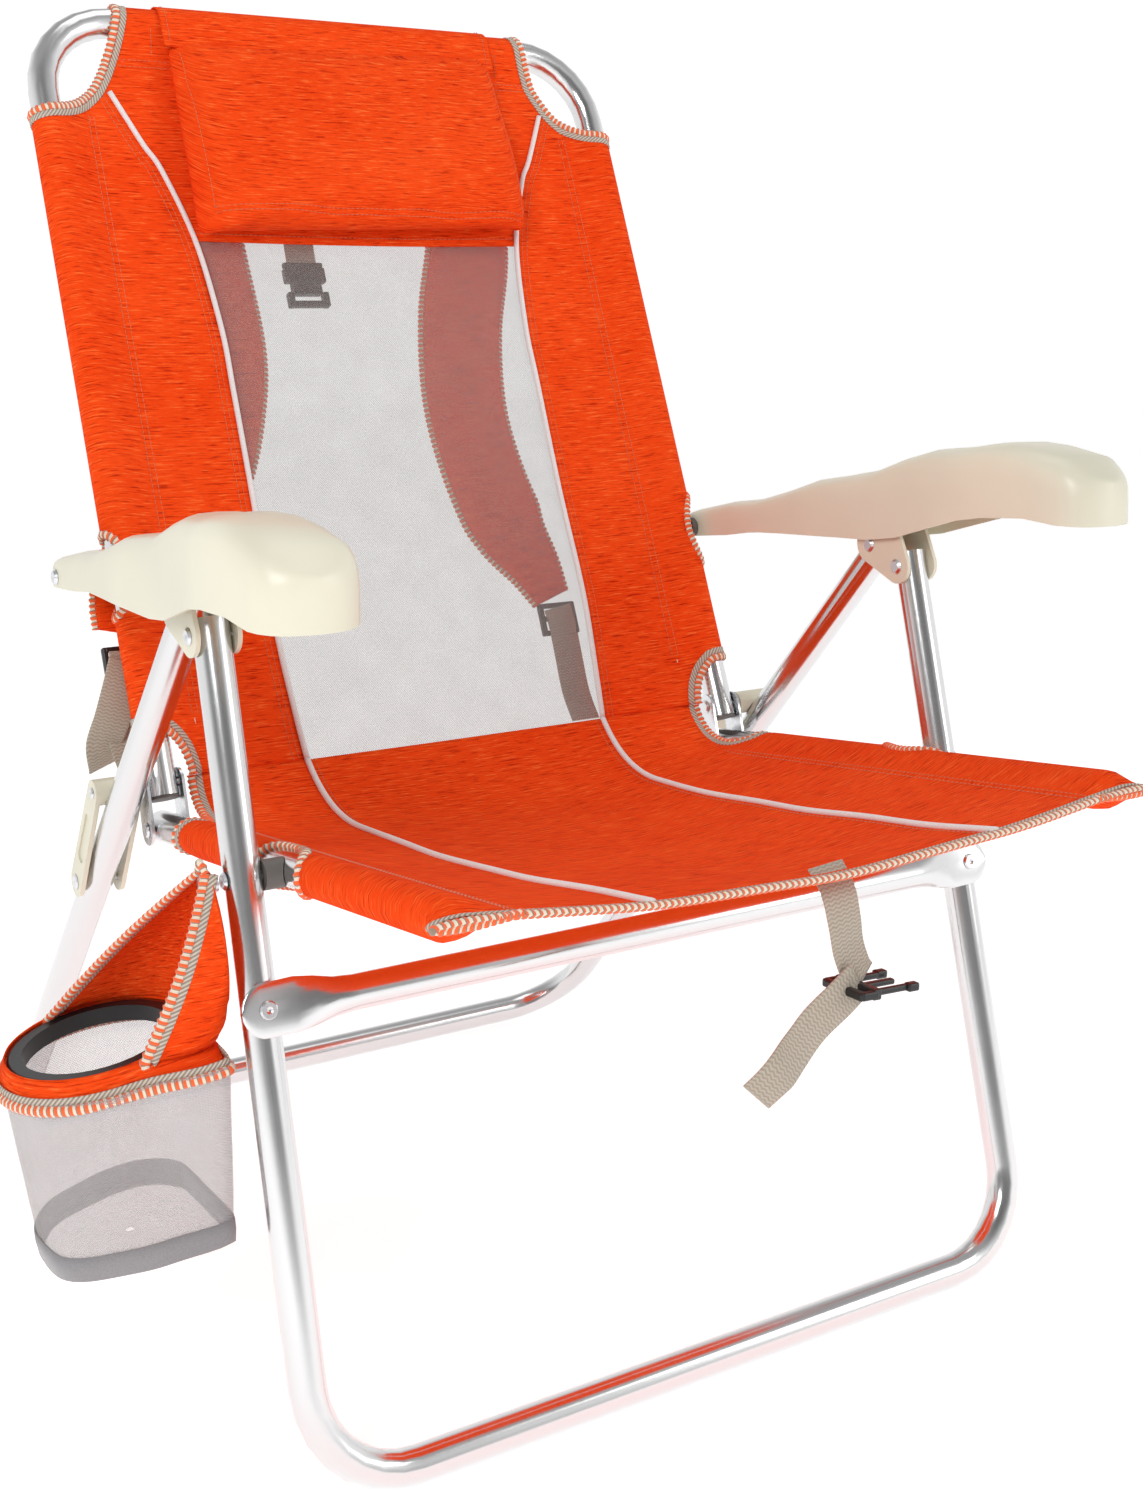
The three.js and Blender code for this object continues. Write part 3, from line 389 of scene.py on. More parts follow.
def plain_thread(name, colour):
    """Matt thread or woven tape of one colour."""
    look = Look(name, colour, 0.75, Sheen_Weight=0.3)
    fibre = look.noise(look.stretched((1400, 1400, 1400)), detail=2)
    look.colour(look.ramp(fibre, (0.3, tuple(c * 0.8 for c in colour)), (0.7, colour)))
    look.bump(fibre, 0.0003, 0.4)
    return look.material


def floor_paint():
    """Plain pale ground with a faint glow, so that it stays white away from the lamps."""
    look = Look("pale_floor", (0.93, 0.93, 0.93), 0.9)
    cloud = look.noise(look.stretched((1.2, 1.2, 1.2)), detail=2)
    look.colour(look.ramp(cloud, (0.3, (0.92, 0.92, 0.92)), (0.7, (0.94, 0.94, 0.94))))
    look.shader.inputs["Emission Color"].default_value = (1, 1, 1, 1)
    look.shader.inputs["Emission Strength"].default_value = FLOOR_GLOW
    return look.material


# ---- Mesh helpers ----------------------------------------------------------------------------


def add_mesh(name, points, faces, material, uvs=None, smooth=True):
    """A new mesh object; uvs is one flat coordinate for each point."""
    mesh = bpy.data.meshes.new(name)
    mesh.from_pydata([tuple(p) for p in points], [], faces)
    mesh.polygons.foreach_set("use_smooth", [smooth] * len(mesh.polygons))
    if uvs is not None:
        layer = mesh.uv_layers.new(name="flat")
        loops = np.zeros(len(mesh.loops), np.int64)
        mesh.loops.foreach_get("vertex_index", loops)
        layer.data.foreach_set("uv", np.asarray(uvs, float)[loops].ravel())
    mesh.materials.append(material)
    mesh.validate()
    made = bpy.data.objects.new(name, mesh)
    bpy.context.scene.collection.objects.link(made)
    return made


def joined(name, pieces):
    """Join mesh objects into the first one."""
    if len(pieces) > 1:
        with bpy.context.temp_override(active_object=pieces[0], selected_editable_objects=pieces):
            bpy.ops.object.join()
    pieces[0].name = name
    return pieces[0]


def smooth_line(points, spacing, closed=False):
    """Points at an even spacing along a smooth line through the given ones."""
    knots = [np.asarray(p, float) for p in points]
    count = len(knots)
    fine = []
    spans = count if closed else count - 1
    for i in range(spans):
        near = [(i + k) % count if closed else min(max(i + k, 0), count - 1) for k in (-1, 0, 1, 2)]
        a, b, c, d = (knots[k] for k in near)
        for t in np.linspace(0, 1, 16, endpoint=False):
            curve = 2 * b + (c - a) * t + (2 * a - 5 * b + 4 * c - d) * t**2 + (3 * b - a - 3 * c + d) * t**3
            fine.append(0.5 * curve)
    fine.append(knots[0] if closed else knots[-1])
    return even_line(fine, spacing)


def even_line(points, spacing):
    """The same line with its points at an even spacing."""
    line = np.array(points)
    steps = np.linalg.norm(np.diff(line, axis=0), axis=1)
    length = np.concatenate([[0], np.cumsum(steps)])
    count = max(2, int(round(length[-1] / spacing)) + 1)
    at = np.linspace(0, length[-1], count)
    return np.stack([np.interp(at, length, line[:, k]) for k in range(line.shape[1])], axis=1)


def tube_mesh(name, centres, radius, material, sides=8, flatten=None, closed=False):
    """A round cord along the centres. radius may be a function of the length along it.
    flatten is (normals, factor): the cord is thinner by that factor along those normals."""
    centres = [Vector(c) for c in centres]
    count = len(centres)
    points, uvs, faces = [], [], []
    length = 0.0
    normal = None
    for i, centre in enumerate(centres):
        before = centres[i - 1] if i or closed else centres[i]
        after = centres[(i + 1) % count] if i < count - 1 or closed else centres[i]
        tangent = (after - before).normalized()
        if i:
            length += (centre - centres[i - 1]).length
        if flatten is not None:
            normal = Vector(flatten[0][i])
        elif normal is None:
            normal = tangent.orthogonal()
        normal = (normal - tangent * normal.dot(tangent)).normalized()
        across = tangent.cross(normal)
        size = radius(length) if callable(radius) else radius
        thin = flatten[1] if flatten is not None else 1.0
        for k in range(sides):
            turn = 2 * math.pi * k / sides
            points.append(centre + across * (size * math.cos(turn)) + normal * (size * thin * math.sin(turn)))
            uvs.append((length, k / sides))
    rows = count if closed else count - 1
    for i in range(rows):
        for k in range(sides):
            a, b = i * sides + k, i * sides + (k + 1) % sides
            c, d = ((i + 1) % count) * sides + (k + 1) % sides, ((i + 1) % count) * sides + k
            faces.append((a, b, c, d))
    if not closed:
        faces.append(tuple(reversed(range(sides))))
        faces.append(tuple(range((count - 1) * sides, count * sides)))
    return add_mesh(name, points, faces, material, uvs)


def strap_mesh(name, centres, normals, width, thickness, material, widths=None):
    """A flat strap along the centres, with rounded edges, facing its normals."""
    centres = [Vector(c) for c in centres]
    half = [(-0.5, 0.0), (-0.49, 0.35), (-0.46, 0.5), (0.0, 0.5), (0.46, 0.5), (0.49, 0.35)]
    section = half + [(-a, -b) for a, b in half]
    points, uvs, faces = [], [], []
    length = 0.0
    count = len(centres)
    for i, centre in enumerate(centres):
        tangent = (centres[min(i + 1, count - 1)] - centres[max(i - 1, 0)]).normalized()
        if i:
            length += (centre - centres[i - 1]).length
        normal = Vector(normals[i])
        normal = (normal - tangent * normal.dot(tangent)).normalized()
        across = tangent.cross(normal)
        wide = widths[i] if widths is not None else width
        for a, b in section:
            points.append(centre + across * (a * wide) + normal * (b * thickness))
            uvs.append((a * wide, length))
    sides = len(section)
    for i in range(count - 1):
        for k in range(sides):
            a, b = i * sides + k, i * sides + (k + 1) % sides
            faces.append((a, b, b + sides, a + sides))
    faces.append(tuple(reversed(range(sides))))
    faces.append(tuple(range((count - 1) * sides, count * sides)))
    return add_mesh(name, points, faces, material, uvs)


def inside(loops, places):
    """Which places lie inside the closed loops, counting a loop within a loop as a hole."""
    result = np.zeros(len(places), bool)
    for loop in loops:
        a, b = loop, np.roll(loop, -1, axis=0)
        for (x0, y0), (x1, y1) in zip(a, b):
            if y0 == y1:
                continue
            crosses = (places[:, 1] > min(y0, y1)) & (places[:, 1] <= max(y0, y1))
            result ^= crosses & (places[:, 0] < x0 + (places[:, 1] - y0) * (x1 - x0) / (y1 - y0))
    return result


def flat_pattern(loops, spacing):
    """Triangulate a flat cut-out: (places, triangles), with an even grid inside its outline."""
    border = np.concatenate(loops)
    low, high = border.min(0), border.max(0)
    ticks = [np.arange(low[k] + spacing / 2, high[k], spacing) for k in (0, 1)]
    grid = np.stack(np.meshgrid(*ticks), axis=-1).reshape(-1, 2)
    grid = grid[inside(loops, grid)]
    nearest = np.full(len(grid), np.inf)
    for place in border:
        nearest = np.minimum(nearest, ((grid - place) ** 2).sum(1))
    grid = grid[nearest > (0.45 * spacing) ** 2]
    edges = []
    start = 0
    for loop in loops:
        edges += [(start + i, start + (i + 1) % len(loop)) for i in range(len(loop))]
        start += len(loop)
    corners = [Vector(p) for p in np.concatenate([border, grid])]
    places, _, faces, *_ = delaunay_2d_cdt(corners, edges, [], 0, 1e-7)
    places = np.array([tuple(p) for p in places])
    faces = np.array([f for f in faces if len(f) == 3])
    faces = faces[inside(loops, places[faces].mean(1))]
    return places, faces


def closed_sheet(name, places, faces, front, rear, material):
    """A front and a rear layer of the same flat pattern, walled along every edge that one face has."""
    count = len(places)
    walls = {}
    for a, b, c in faces:
        for edge in ((a, b), (b, c), (c, a)):
            if (edge[1], edge[0]) in walls:
                del walls[(edge[1], edge[0])]
            else:
                walls[edge] = True
    all_faces = [tuple(f) for f in faces]
    all_faces += [tuple(count + i for i in reversed(f)) for f in faces]
    all_faces += [(b, a, count + a, count + b) for a, b in walls]
    return add_mesh(name, front + rear, all_faces, material, list(places) * 2)


def cloth_piece(name, loops, wrap, material, spacing=0.007, thickness=CLOTH_T):
    """Cut a cloth from flat loops and lay it in place: wrap(across, along, height) gives a point."""
    places, faces = flat_pattern(loops, spacing)
    front = [wrap(w, v, 0.0) for w, v in places]
    rear = [wrap(w, v, -thickness) for w, v in places]
    return closed_sheet(name, places, faces, front, rear, material)


def attach(piece, body, node=None):
    """Ride a body, and hide the CAD node that the piece stands for."""
    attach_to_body(piece, body)
    if node:
        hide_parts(node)
    return piece


def outline(corners, spacing):
    """A closed flat loop through the corners, with straight sides."""
    sides = [even_line([a, b], spacing)[:-1] for a, b in zip(corners, corners[1:] + corners[:1])]
    return np.concatenate(sides)


def across_chair(side, line, spacing):
    """A smooth flat line through the knots, on the sitter's left (side 1) or right (side -1)."""
    return np.array([(side * w, v) for w, v in smooth_line(line, spacing)])


# ---- How the sling lies on its tubes ---------------------------------------------------------


def around_tube(along, span, radius):
    """Where a cloth goes past its seam: straight to the tube, round it, and straight back.
    Returns (out from the seam, above it, outward direction)."""
    lean = math.asin(radius / span)
    straight = span * math.cos(lean)
    arc = radius * (math.pi + 2 * lean)
    rise = (math.cos(lean), math.sin(lean))
    if along < straight:
        return along * rise[0], along * rise[1], (-rise[1], rise[0])
    if along < straight + arc:
        turn = (along - straight) / radius - lean
        direction = (math.sin(turn), math.cos(turn))
        return span + radius * direction[0], radius * direction[1], direction
    back = along - straight - arc
    out = (straight - back) * rise[0]
    return out, -(straight - back) * rise[1] - 0.0015, (-rise[1], -rise[0])


def sleeve_girth(span=SEAM_SPAN, radius=SLEEVE_R):
    """Cloth needed past the seam to go round the tube and back to it."""
    lean = math.asin(radius / span)
    return 2 * span * math.cos(lean) + radius * (math.pi + 2 * lean)


SLEEVE_END = SEAM_X + sleeve_girth()
TUBE_OUTSIDE = SEAM_X + sleeve_girth() / 2  # the flat line that lies on the outer side of a tube
HEM_SEAM = BACK_LENGTH - SEAM_SPAN
HEM_END = HEM_SEAM + sleeve_girth()


def ripple(w, v, seed, size):
    """Small smooth unevenness, the same on every run."""
    return size * noise.noise(Vector((w * 9, v * 9, seed)))


def back_sag(w, v):
    """How far the back's cloth sits behind a straight line between its tubes."""
    edge = max(0.0, 1 - (w / SEAM_X) ** 2)
    ends = max(0.0, min(1.0, (HEM_SEAM - v) / 0.12))
    return -0.006 * edge * ends + edge * ends * ripple(w, v, 3.1, 0.0022)


def wrap_back(w, v, height=0.0):
    """Lay a flat point of the back's cloth over the side tubes and the top bar."""
    side = 1 if w > 0 else -1
    if v > HEM_SEAM:
        up, fore, (du, df) = around_tube(v - HEM_SEAM, SEAM_SPAN, SLEEVE_R)
        return back_point(w, HEM_SEAM + up + du * height, fore + df * height)
    if abs(w) > SEAM_X:
        out, fore, (dx, df) = around_tube(abs(w) - SEAM_X, SEAM_SPAN, SLEEVE_R)
        return back_point(side * (SEAM_X + out + dx * height), v, fore + df * height)
    return back_point(w, v, back_sag(w, v) + height)


SEAT_FRONT = -0.205
SEAT_TURN = 0.150  # where the seat's cloth starts to rise to the back
BACK_HEM = 0.003  # where it meets the mesh, above the recline pivot
SLEEVE_PRESS = 0.021  # the empty front end of a sleeve is pressed flat over this length


def smoothstep(t):
    """A smooth step from 0 to 1."""
    t = max(0.0, min(1.0, t))
    return t * t * (3 - 2 * t)


def seat_sag(w, s):
    """How far the seat's cloth sits below a straight line between its tubes."""
    edge = max(0.0, 1 - (w / SEAM_X) ** 2)
    along = max(0.0, min(1.0, (s - SEAT_FRONT) / (SEAT_TURN - SEAT_FRONT)))
    depth = 0.013 + 0.011 * math.sin(math.pi * min(1.0, along * 0.9))
    return -depth * edge + edge * ripple(w, s, 7.7, 0.0030)


def seat_rise(w, t, height):
    """The cloth's turn from the seat up to the back, t from 0 to 1."""
    first = seat_point(w, SEAT_TURN, seat_sag(w, SEAT_TURN))
    last = back_point(w, BACK_HEM, back_sag(w, BACK_HEM))
    middle = seat_point(w, 0.198, seat_sag(w, SEAT_TURN) * 0.6)
    place = first * (1 - t) ** 2 + middle * (2 * t * (1 - t)) + last * t**2
    tangent = ((middle - first) * (1 - t) + (last - middle) * t).normalized()
    return place + X_AXIS.cross(tangent) * height


RISE_ENDS = [(seat_rise(0, t, 0), seat_rise(0, t + 0.5, 0)) for t in (0, 0.5)]
SEAT_END = SEAT_TURN + (RISE_ENDS[0][0] - RISE_ENDS[0][1]).length + (RISE_ENDS[1][0] - RISE_ENDS[1][1]).length


def wrap_seat(w, s, height=0.0):
    """Lay a flat point of the seat's cloth over the seat tubes, and up to the back behind them."""
    side = 1 if w > 0 else -1
    if abs(w) > SEAM_X:
        out, up, (dx, du) = around_tube(abs(w) - SEAM_X, SEAM_SPAN, SLEEVE_R)
        open_up = 0.16 + 0.84 * smoothstep((s - SEAT_FRONT) / SLEEVE_PRESS)
        up *= open_up
        out = out if out < SEAM_SPAN else SEAM_SPAN + (out - SEAM_SPAN) * (1.5 - 0.5 * open_up)
        blend = max(0.0, min(1.0, (s - SEAT_TURN) / (SEAT_END - SEAT_TURN)))
        flat = seat_point(side * (SEAM_X + out + dx * height), s, up + du * height)
        return flat if blend == 0 else flat.lerp(seat_rise(side * (SEAM_X + out), blend, height), blend)
    if s > SEAT_TURN:
        return seat_rise(w, (s - SEAT_TURN) / (SEAT_END - SEAT_TURN), height)
    return seat_point(w, s, seat_sag(w, s) + height)


def lay(wrap, line, height):
    """A flat line laid in place, with the direction that faces out of the cloth at each point."""
    centres = [wrap(w, v, height) for w, v in line]
    normals = [(wrap(w, v, height + 0.001) - wrap(w, v, height)).normalized() for w, v in line]
    return centres, normals


# ---- Edges, piping and stitches --------------------------------------------------------------

OVERLOCK_PITCH = 0.0042
CORD_FLAT = 0.72  # the cord is pressed this much thinner against the cloth
TAPE_W = 0.0048
TAPE_T = 0.0011
TAPE_IN = 0.0052  # from the cord to the middle of the tape
EDGE_STEP = 0.004  # spacing of points along a curved edge, along piping and along a straight edge
PIPING_STEP = 0.005
PANEL_STEP = 0.008


def cord_radius(length):
    """The cord swells under each stitch."""
    return 0.0031 + 0.0006 * math.cos(2 * math.pi * length / OVERLOCK_PITCH)


def shifted(line, offset):
    """The line moved sideways in the flat, to the left of its direction."""
    line = np.asarray(line, float)
    tangent = np.gradient(line, axis=0)
    tangent /= np.linalg.norm(tangent, axis=1)[:, None]
    return line + offset * np.stack([-tangent[:, 1], tangent[:, 0]], axis=1)


def edge_cord(name, centres, normals, looks):
    """The cord that is sewn over with thread."""
    return tube_mesh(name, centres, cord_radius, looks["overlock"], sides=8, flatten=(normals, CORD_FLAT))


def overlock(name, wrap, line, looks, inward, tape_side=True):
    """Finish an edge: a cord sewn over with thread, and tape beside it on the cloth.
    inward is +1 where the cloth lies to the left of the line."""
    fine = even_line(line, OVERLOCK_PITCH / 5)
    centres, normals = lay(wrap, fine, -CLOTH_T / 2)
    pieces = [edge_cord(name, centres, normals, looks)]
    if tape_side:
        coarse = even_line(line, EDGE_STEP)
        beside = shifted(coarse, inward * TAPE_IN)
        centres, normals = lay(wrap, beside, 0.0004)
        pieces.append(strap_mesh(name + "_tape", centres, normals, TAPE_W, TAPE_T, looks["tape"]))
    return pieces


def stitches(name, wrap, line, material, length=0.0030, gap=0.0014, radius=0.00042):
    """A row of separate thread stitches lying on the cloth."""
    grain = 0.0005
    line = even_line(line, grain)
    step = int((length + gap) / grain)
    run = int(length / grain)
    points, faces = [], []
    for start in range(0, len(line) - run, step):
        ends = [line[start], line[start + run // 2], line[start + run]]
        centres, normals = lay(wrap, ends, 0.0002)
        along = (centres[2] - centres[0]).normalized()
        across = along.cross(normals[1])
        base = len(points)
        for place, size, lift in ((centres[0], 0.4, 0.0), (centres[1], 1.0, 0.5), (centres[2], 0.4, 0.0)):
            top = place + normals[1] * (radius * (size + lift))
            points += [place + across * radius * size, top, place - across * radius * size]
        for row in (0, 3):
            a = base + row
            faces += [(a, a + 1, a + 4, a + 3), (a + 1, a + 2, a + 5, a + 4)]
    return add_mesh(name, points, faces, material)


def piping_cord(name, wrap, line, looks):
    """A round cord along a seam."""
    centres, _ = lay(wrap, line, 0.0012)
    return tube_mesh(name, centres, 0.0021, looks["piping"], sides=8)


# ---- The back --------------------------------------------------------------------------------

WINDOW_TOP = 0.401
PIPING = [(0.186, 0.516), (0.167, 0.475), (0.156, 0.455), (0.139, 0.400), (0.131, 0.330), (0.1305, 0.280),
          (0.1305, 0.190), (0.1315, 0.100), (0.128, 0.035), (0.1255, BACK_HEM)]
HIP_EDGE = [(0.214, BACK_HEM), (0.2145, 0.010), (0.219, 0.023), (0.229, 0.034), (0.243, 0.038),
            (SLEEVE_END, 0.040)]
CORNER_EDGE = [(SLEEVE_END, 0.493), (0.270, 0.494), (0.238, 0.496), (0.217, 0.502), (0.201, 0.514),
               (0.190, 0.530), (0.182, 0.548), (0.176, 0.570), (0.173, 0.592), (0.172, HEM_END)]
ARM_HOLE = (0.147, 0.030, 0.019)  # middle up the back, half height, half width


def ellipse(middle, half, count=40):
    """A closed flat loop round a middle."""
    return np.array([(middle[0] + half[0] * math.cos(a), middle[1] + half[1] * math.sin(a))
                     for a in np.linspace(0, 2 * math.pi, count, endpoint=False)])


def back_outline():
    """The back's cloth in the flat: side panels and a top panel around the window."""
    hip = smooth_line(HIP_EDGE, EDGE_STEP)
    corner = smooth_line(CORNER_EDGE, EDGE_STEP)
    window = smooth_line([p for p in PIPING if p[1] <= WINDOW_TOP], 0.006)[::-1]
    side = even_line([hip[-1], corner[0]], PANEL_STEP)[1:-1]
    half = [*even_line([window[0], hip[0]], PANEL_STEP)[:-1], *hip, *side, *corner]
    top = even_line([corner[-1], (-corner[-1][0], corner[-1][1])], PANEL_STEP)[1:-1]
    window_top = even_line([(-window[-1][0], window[-1][1]), window[-1]], PANEL_STEP)[1:-1]
    mirrored = [(-x, y) for x, y in reversed(half)]
    left_window = [(-x, y) for x, y in window[1:]]
    right_window = [tuple(p) for p in window[::-1]][:-1]
    return np.array([*half, *top, *mirrored, *left_window, *window_top, *right_window])


def sleeve_holes(middle, half, count=40):
    """The same hole in both sleeves, on the outer side of the tube."""
    return [ellipse((side * TUBE_OUTSIDE, middle), half, count) for side in (1, -1)]


def make_back(looks):
    """The back's cloth with its bound edges, piping and seams."""
    height, half_h, half_w = ARM_HOLE
    holes = sleeve_holes(height, (half_w, half_h))
    cloth = cloth_piece("back_cloth", [back_outline(), *holes], wrap_back, looks["cloth"])
    attach(cloth, "back", "sling_back")
    declare_sheet([back_outline(), *holes])

    def sew(name, line):
        seams.append(stitches(name, wrap_back, line, looks["thread"]))

    edges, piping, seams = [], [], []
    for side, ring in zip((1, -1), sleeve_holes(height, (half_w, half_h), 60)):
        for line in (HIP_EDGE, CORNER_EDGE):
            edges += overlock("back_edge", wrap_back, across_chair(side, line, EDGE_STEP), looks, side)
        ring = np.vstack([ring, ring[:1]])
        edges += overlock("back_arm_edge", wrap_back, ring, looks, -1, tape_side=False)
        run = across_chair(side, PIPING, PIPING_STEP)
        piping.append(piping_cord("back_piping", wrap_back, run, looks))
        for seam in (SEAM_X - 0.002, SEAM_X + 0.003):
            sew("back_seam", [(side * seam, 0.045), (side * seam, 0.497)])
        for offset in (0.006, 0.010):
            sew("back_piping_seam", shifted(run, side * offset))
    for seam in (HEM_SEAM - 0.002, HEM_SEAM + 0.003):
        sew("back_hem_seam", [(-0.176, seam), (0.176, seam)])
    sew("window_seam", [(-0.138, WINDOW_TOP + 0.005), (0.138, WINDOW_TOP + 0.005)])
    for name, pieces in (("back_edging", edges), ("back_piping", piping), ("back_stitching", seams)):
        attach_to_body(joined(name, pieces), "back")


def flat_area(loops):
    """Area of the first loop less the others, in square metres."""
    areas = []
    for loop in loops:
        x, y = loop[:, 0], loop[:, 1]
        areas.append(abs(np.dot(x, np.roll(y, -1)) - np.dot(y, np.roll(x, -1))) / 2)
    return float(areas[0] - sum(areas[1:]))


def declare_sheet(loops):
    """Work out the area of the flat outline, the first loop less the others; the result is not kept or used."""
    flat_area(loops)


def make_window(looks):
    """The see-through mesh between the side panels."""
    overlap = 0.004
    right = [(w + overlap, v) for w, v in smooth_line([p for p in PIPING if p[1] <= WINDOW_TOP], 0.006)]
    right[0] = (right[0][0], WINDOW_TOP + overlap)
    left = [(-w, v) for w, v in reversed(right)]
    low, top = (even_line(ends, PANEL_STEP)[1:-1] for ends in ([right[-1], left[0]], [left[-1], right[0]]))
    loop = np.array([*right, *low, *left, *top])

    def wrap(w, v, height):
        return wrap_back(w, v, height - 0.0012)

    mesh = cloth_piece("mesh_window", [loop], wrap, looks["mesh"], spacing=0.010, thickness=0.0006)
    attach(mesh, "back", "mesh_panel")
    declare_sheet([loop])


# ---- The seat --------------------------------------------------------------------------------

SEAT_SIDE_EDGE = [(0.214, SEAT_END), (0.2145, SEAT_END - 0.010), (0.217, 0.186), (0.226, 0.173),
                  (0.240, 0.167), (SLEEVE_END, 0.166)]
LEG_HOLE = (0.0, 0.031, 0.024)  # middle along the seat, half length, half width
SEAT_PIPING = [(0.1255, SEAT_END), (0.123, 0.150), (0.121, 0.090), (0.124, 0.030), (0.121, -0.030),
               (0.125, -0.090), (0.121, -0.150), (0.123, -0.203)]


def seat_outline():
    """The seat's cloth in the flat."""
    rear = smooth_line(SEAT_SIDE_EDGE, EDGE_STEP)
    side = even_line([rear[-1], (SLEEVE_END, SEAT_FRONT)], PANEL_STEP)[1:]
    half = [*rear, *side]
    mirrored = [(-x, y) for x, y in reversed(half)]
    front = even_line([half[-1], mirrored[0]], PANEL_STEP)[1:-1]
    rear_line = even_line([mirrored[-1], half[0]], PANEL_STEP)[1:-1]
    return np.array([*half, *front, *mirrored, *rear_line])


def make_seat(looks):
    """The seat's cloth, which runs on up to the mesh, with its bound edges, piping and seams."""
    middle, half_l, half_w = LEG_HOLE
    holes = sleeve_holes(middle, (half_w, half_l))
    cloth = cloth_piece("seat_cloth", [seat_outline(), *holes], wrap_seat, looks["cloth"])
    attach(cloth, "seat", "sling_seat")
    declare_sheet([seat_outline(), *holes])

    def sew(name, line):
        seams.append(stitches(name, wrap_seat, line, looks["thread"]))

    edges, piping, seams = [], [], []
    front = even_line([(-SLEEVE_END, SEAT_FRONT), (SLEEVE_END, SEAT_FRONT)], EDGE_STEP)
    edges += overlock("seat_front_edge", wrap_seat, front, looks, 1)
    for side, ring in zip((1, -1), sleeve_holes(middle, (half_w, half_l), 60)):
        run = across_chair(side, SEAT_SIDE_EDGE, EDGE_STEP)
        edges += overlock("seat_side_edge", wrap_seat, run, looks, -side)
        ring = np.vstack([ring, ring[:1]])
        edges += overlock("seat_leg_edge", wrap_seat, ring, looks, -1, tape_side=False)
        run = across_chair(side, SEAT_PIPING, PIPING_STEP)
        piping.append(piping_cord("seat_piping", wrap_seat, run, looks))
        for seam in (SEAM_X - 0.002, SEAM_X + 0.003):
            sew("seat_seam", [(side * seam, SEAT_FRONT + 0.008), (side * seam, 0.17)])
        sew("seat_piping_seam", shifted(run, side * -0.006))
    for name, pieces in (("seat_edging", edges), ("seat_piping", piping), ("seat_stitching", seams)):
        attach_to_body(joined(name, pieces), "seat")


# ---- Padded pieces ---------------------------------------------------------------------------

PILLOW_HALF = 0.143
PILLOW_LOW = 0.399
PILLOW_HIGH = 0.556
LIP_IN = 0.013  # the pillow's seams, in from its lower edge and from its sides
SIDE_IN = 0.011
STRAP_FORE = -0.021  # middle of the padded straps, ahead of the tubes' axis
STRAP_T = 0.009
STRAP_W = 0.069
STRAP_END_W = 0.031
STRAP_EDGE = 0.014  # a strap is rounded over this width beside its edges
STRAP_ROUTES = {
    "l": [(0.104, 0.470), (0.105, 0.411), (0.083, 0.340), (0.072, 0.274), (0.075, 0.219), (0.087, 0.168),
          (0.103, 0.134), (0.113, 0.106)],
    "r": [(-0.125, 0.470), (-0.129, 0.409), (-0.127, 0.327), (-0.136, 0.279), (-0.158, 0.225),
          (-0.196, 0.178), (-0.230, 0.140), (-0.240, 0.112)],
}


def inflated(piece, voxel, pressure, most):
    """Remesh a soft block, press it out from inside, and keep each point within most of its start."""
    bpy.context.view_layer.objects.active = piece
    remesh = piece.modifiers.new("remesh", "REMESH")
    remesh.mode = "VOXEL"
    remesh.voxel_size = voxel
    bpy.ops.object.modifier_apply(modifier="remesh")
    mesh = piece.data
    start = np.zeros(len(mesh.vertices) * 3)
    mesh.vertices.foreach_get("co", start)
    cloth = piece.modifiers.new("cloth", "CLOTH")
    cloth.settings.use_pressure = True
    cloth.settings.uniform_pressure_force = pressure
    cloth.settings.effector_weights.gravity = 0
    cloth.settings.tension_stiffness = 20
    cloth.settings.bending_stiffness = 2.5
    cloth.point_cache.frame_start, cloth.point_cache.frame_end = 1, 20
    for step in range(1, 21):
        bpy.context.scene.frame_set(step)
    ready = piece.evaluated_get(bpy.context.evaluated_depsgraph_get()).data
    end = np.zeros(len(ready.vertices) * 3)
    ready.vertices.foreach_get("co", end)
    piece.modifiers.remove(cloth)
    bpy.context.scene.frame_set(1)
    start, end = start.reshape(-1, 3), end.reshape(-1, 3)
    move = end - start
    size = np.linalg.norm(move, axis=1, keepdims=True)
    move *= np.minimum(1, most / np.maximum(size, 1e-9))
    mesh.vertices.foreach_set("co", (start + move).ravel())
    mesh.polygons.foreach_set("use_smooth", [True] * len(mesh.polygons))
    return piece


def in_back_plane(place):
    """(across, up the back, ahead of the tubes' axis) of a point in the row frame."""
    away = Vector(place) - RECLINE
    return away.x, away.dot(BACK_UP), away.dot(BACK_FORE)


def flat_from_back(piece):
    """Flat coordinates for a piece that lies on the back, so that its threads run across the chair."""
    mesh = piece.data
    layer = mesh.uv_layers.new(name="flat")
    places = [in_back_plane(vertex.co) for vertex in mesh.vertices]
    for loop in mesh.loops:
        across, up, fore = places[loop.vertex_index]
        layer.data[loop.index].uv = (across + 0.3 * fore, up + fore)


def pillow_section():
    """The pillow's side view as (up the back, fore): flat behind, fullest low down, a rounded lip."""
    return [
        (PILLOW_LOW + 0.005, 0.007), (PILLOW_LOW, 0.019), (PILLOW_LOW + 0.004, 0.031),
        (PILLOW_LOW + 0.018, 0.037), (0.450, 0.037), (0.500, 0.031), (0.535, 0.024), (PILLOW_HIGH, 0.017),
        (PILLOW_HIGH + 0.003, 0.010), (PILLOW_HIGH - 0.004, 0.004), (0.480, 0.003), (0.430, 0.003),
    ]


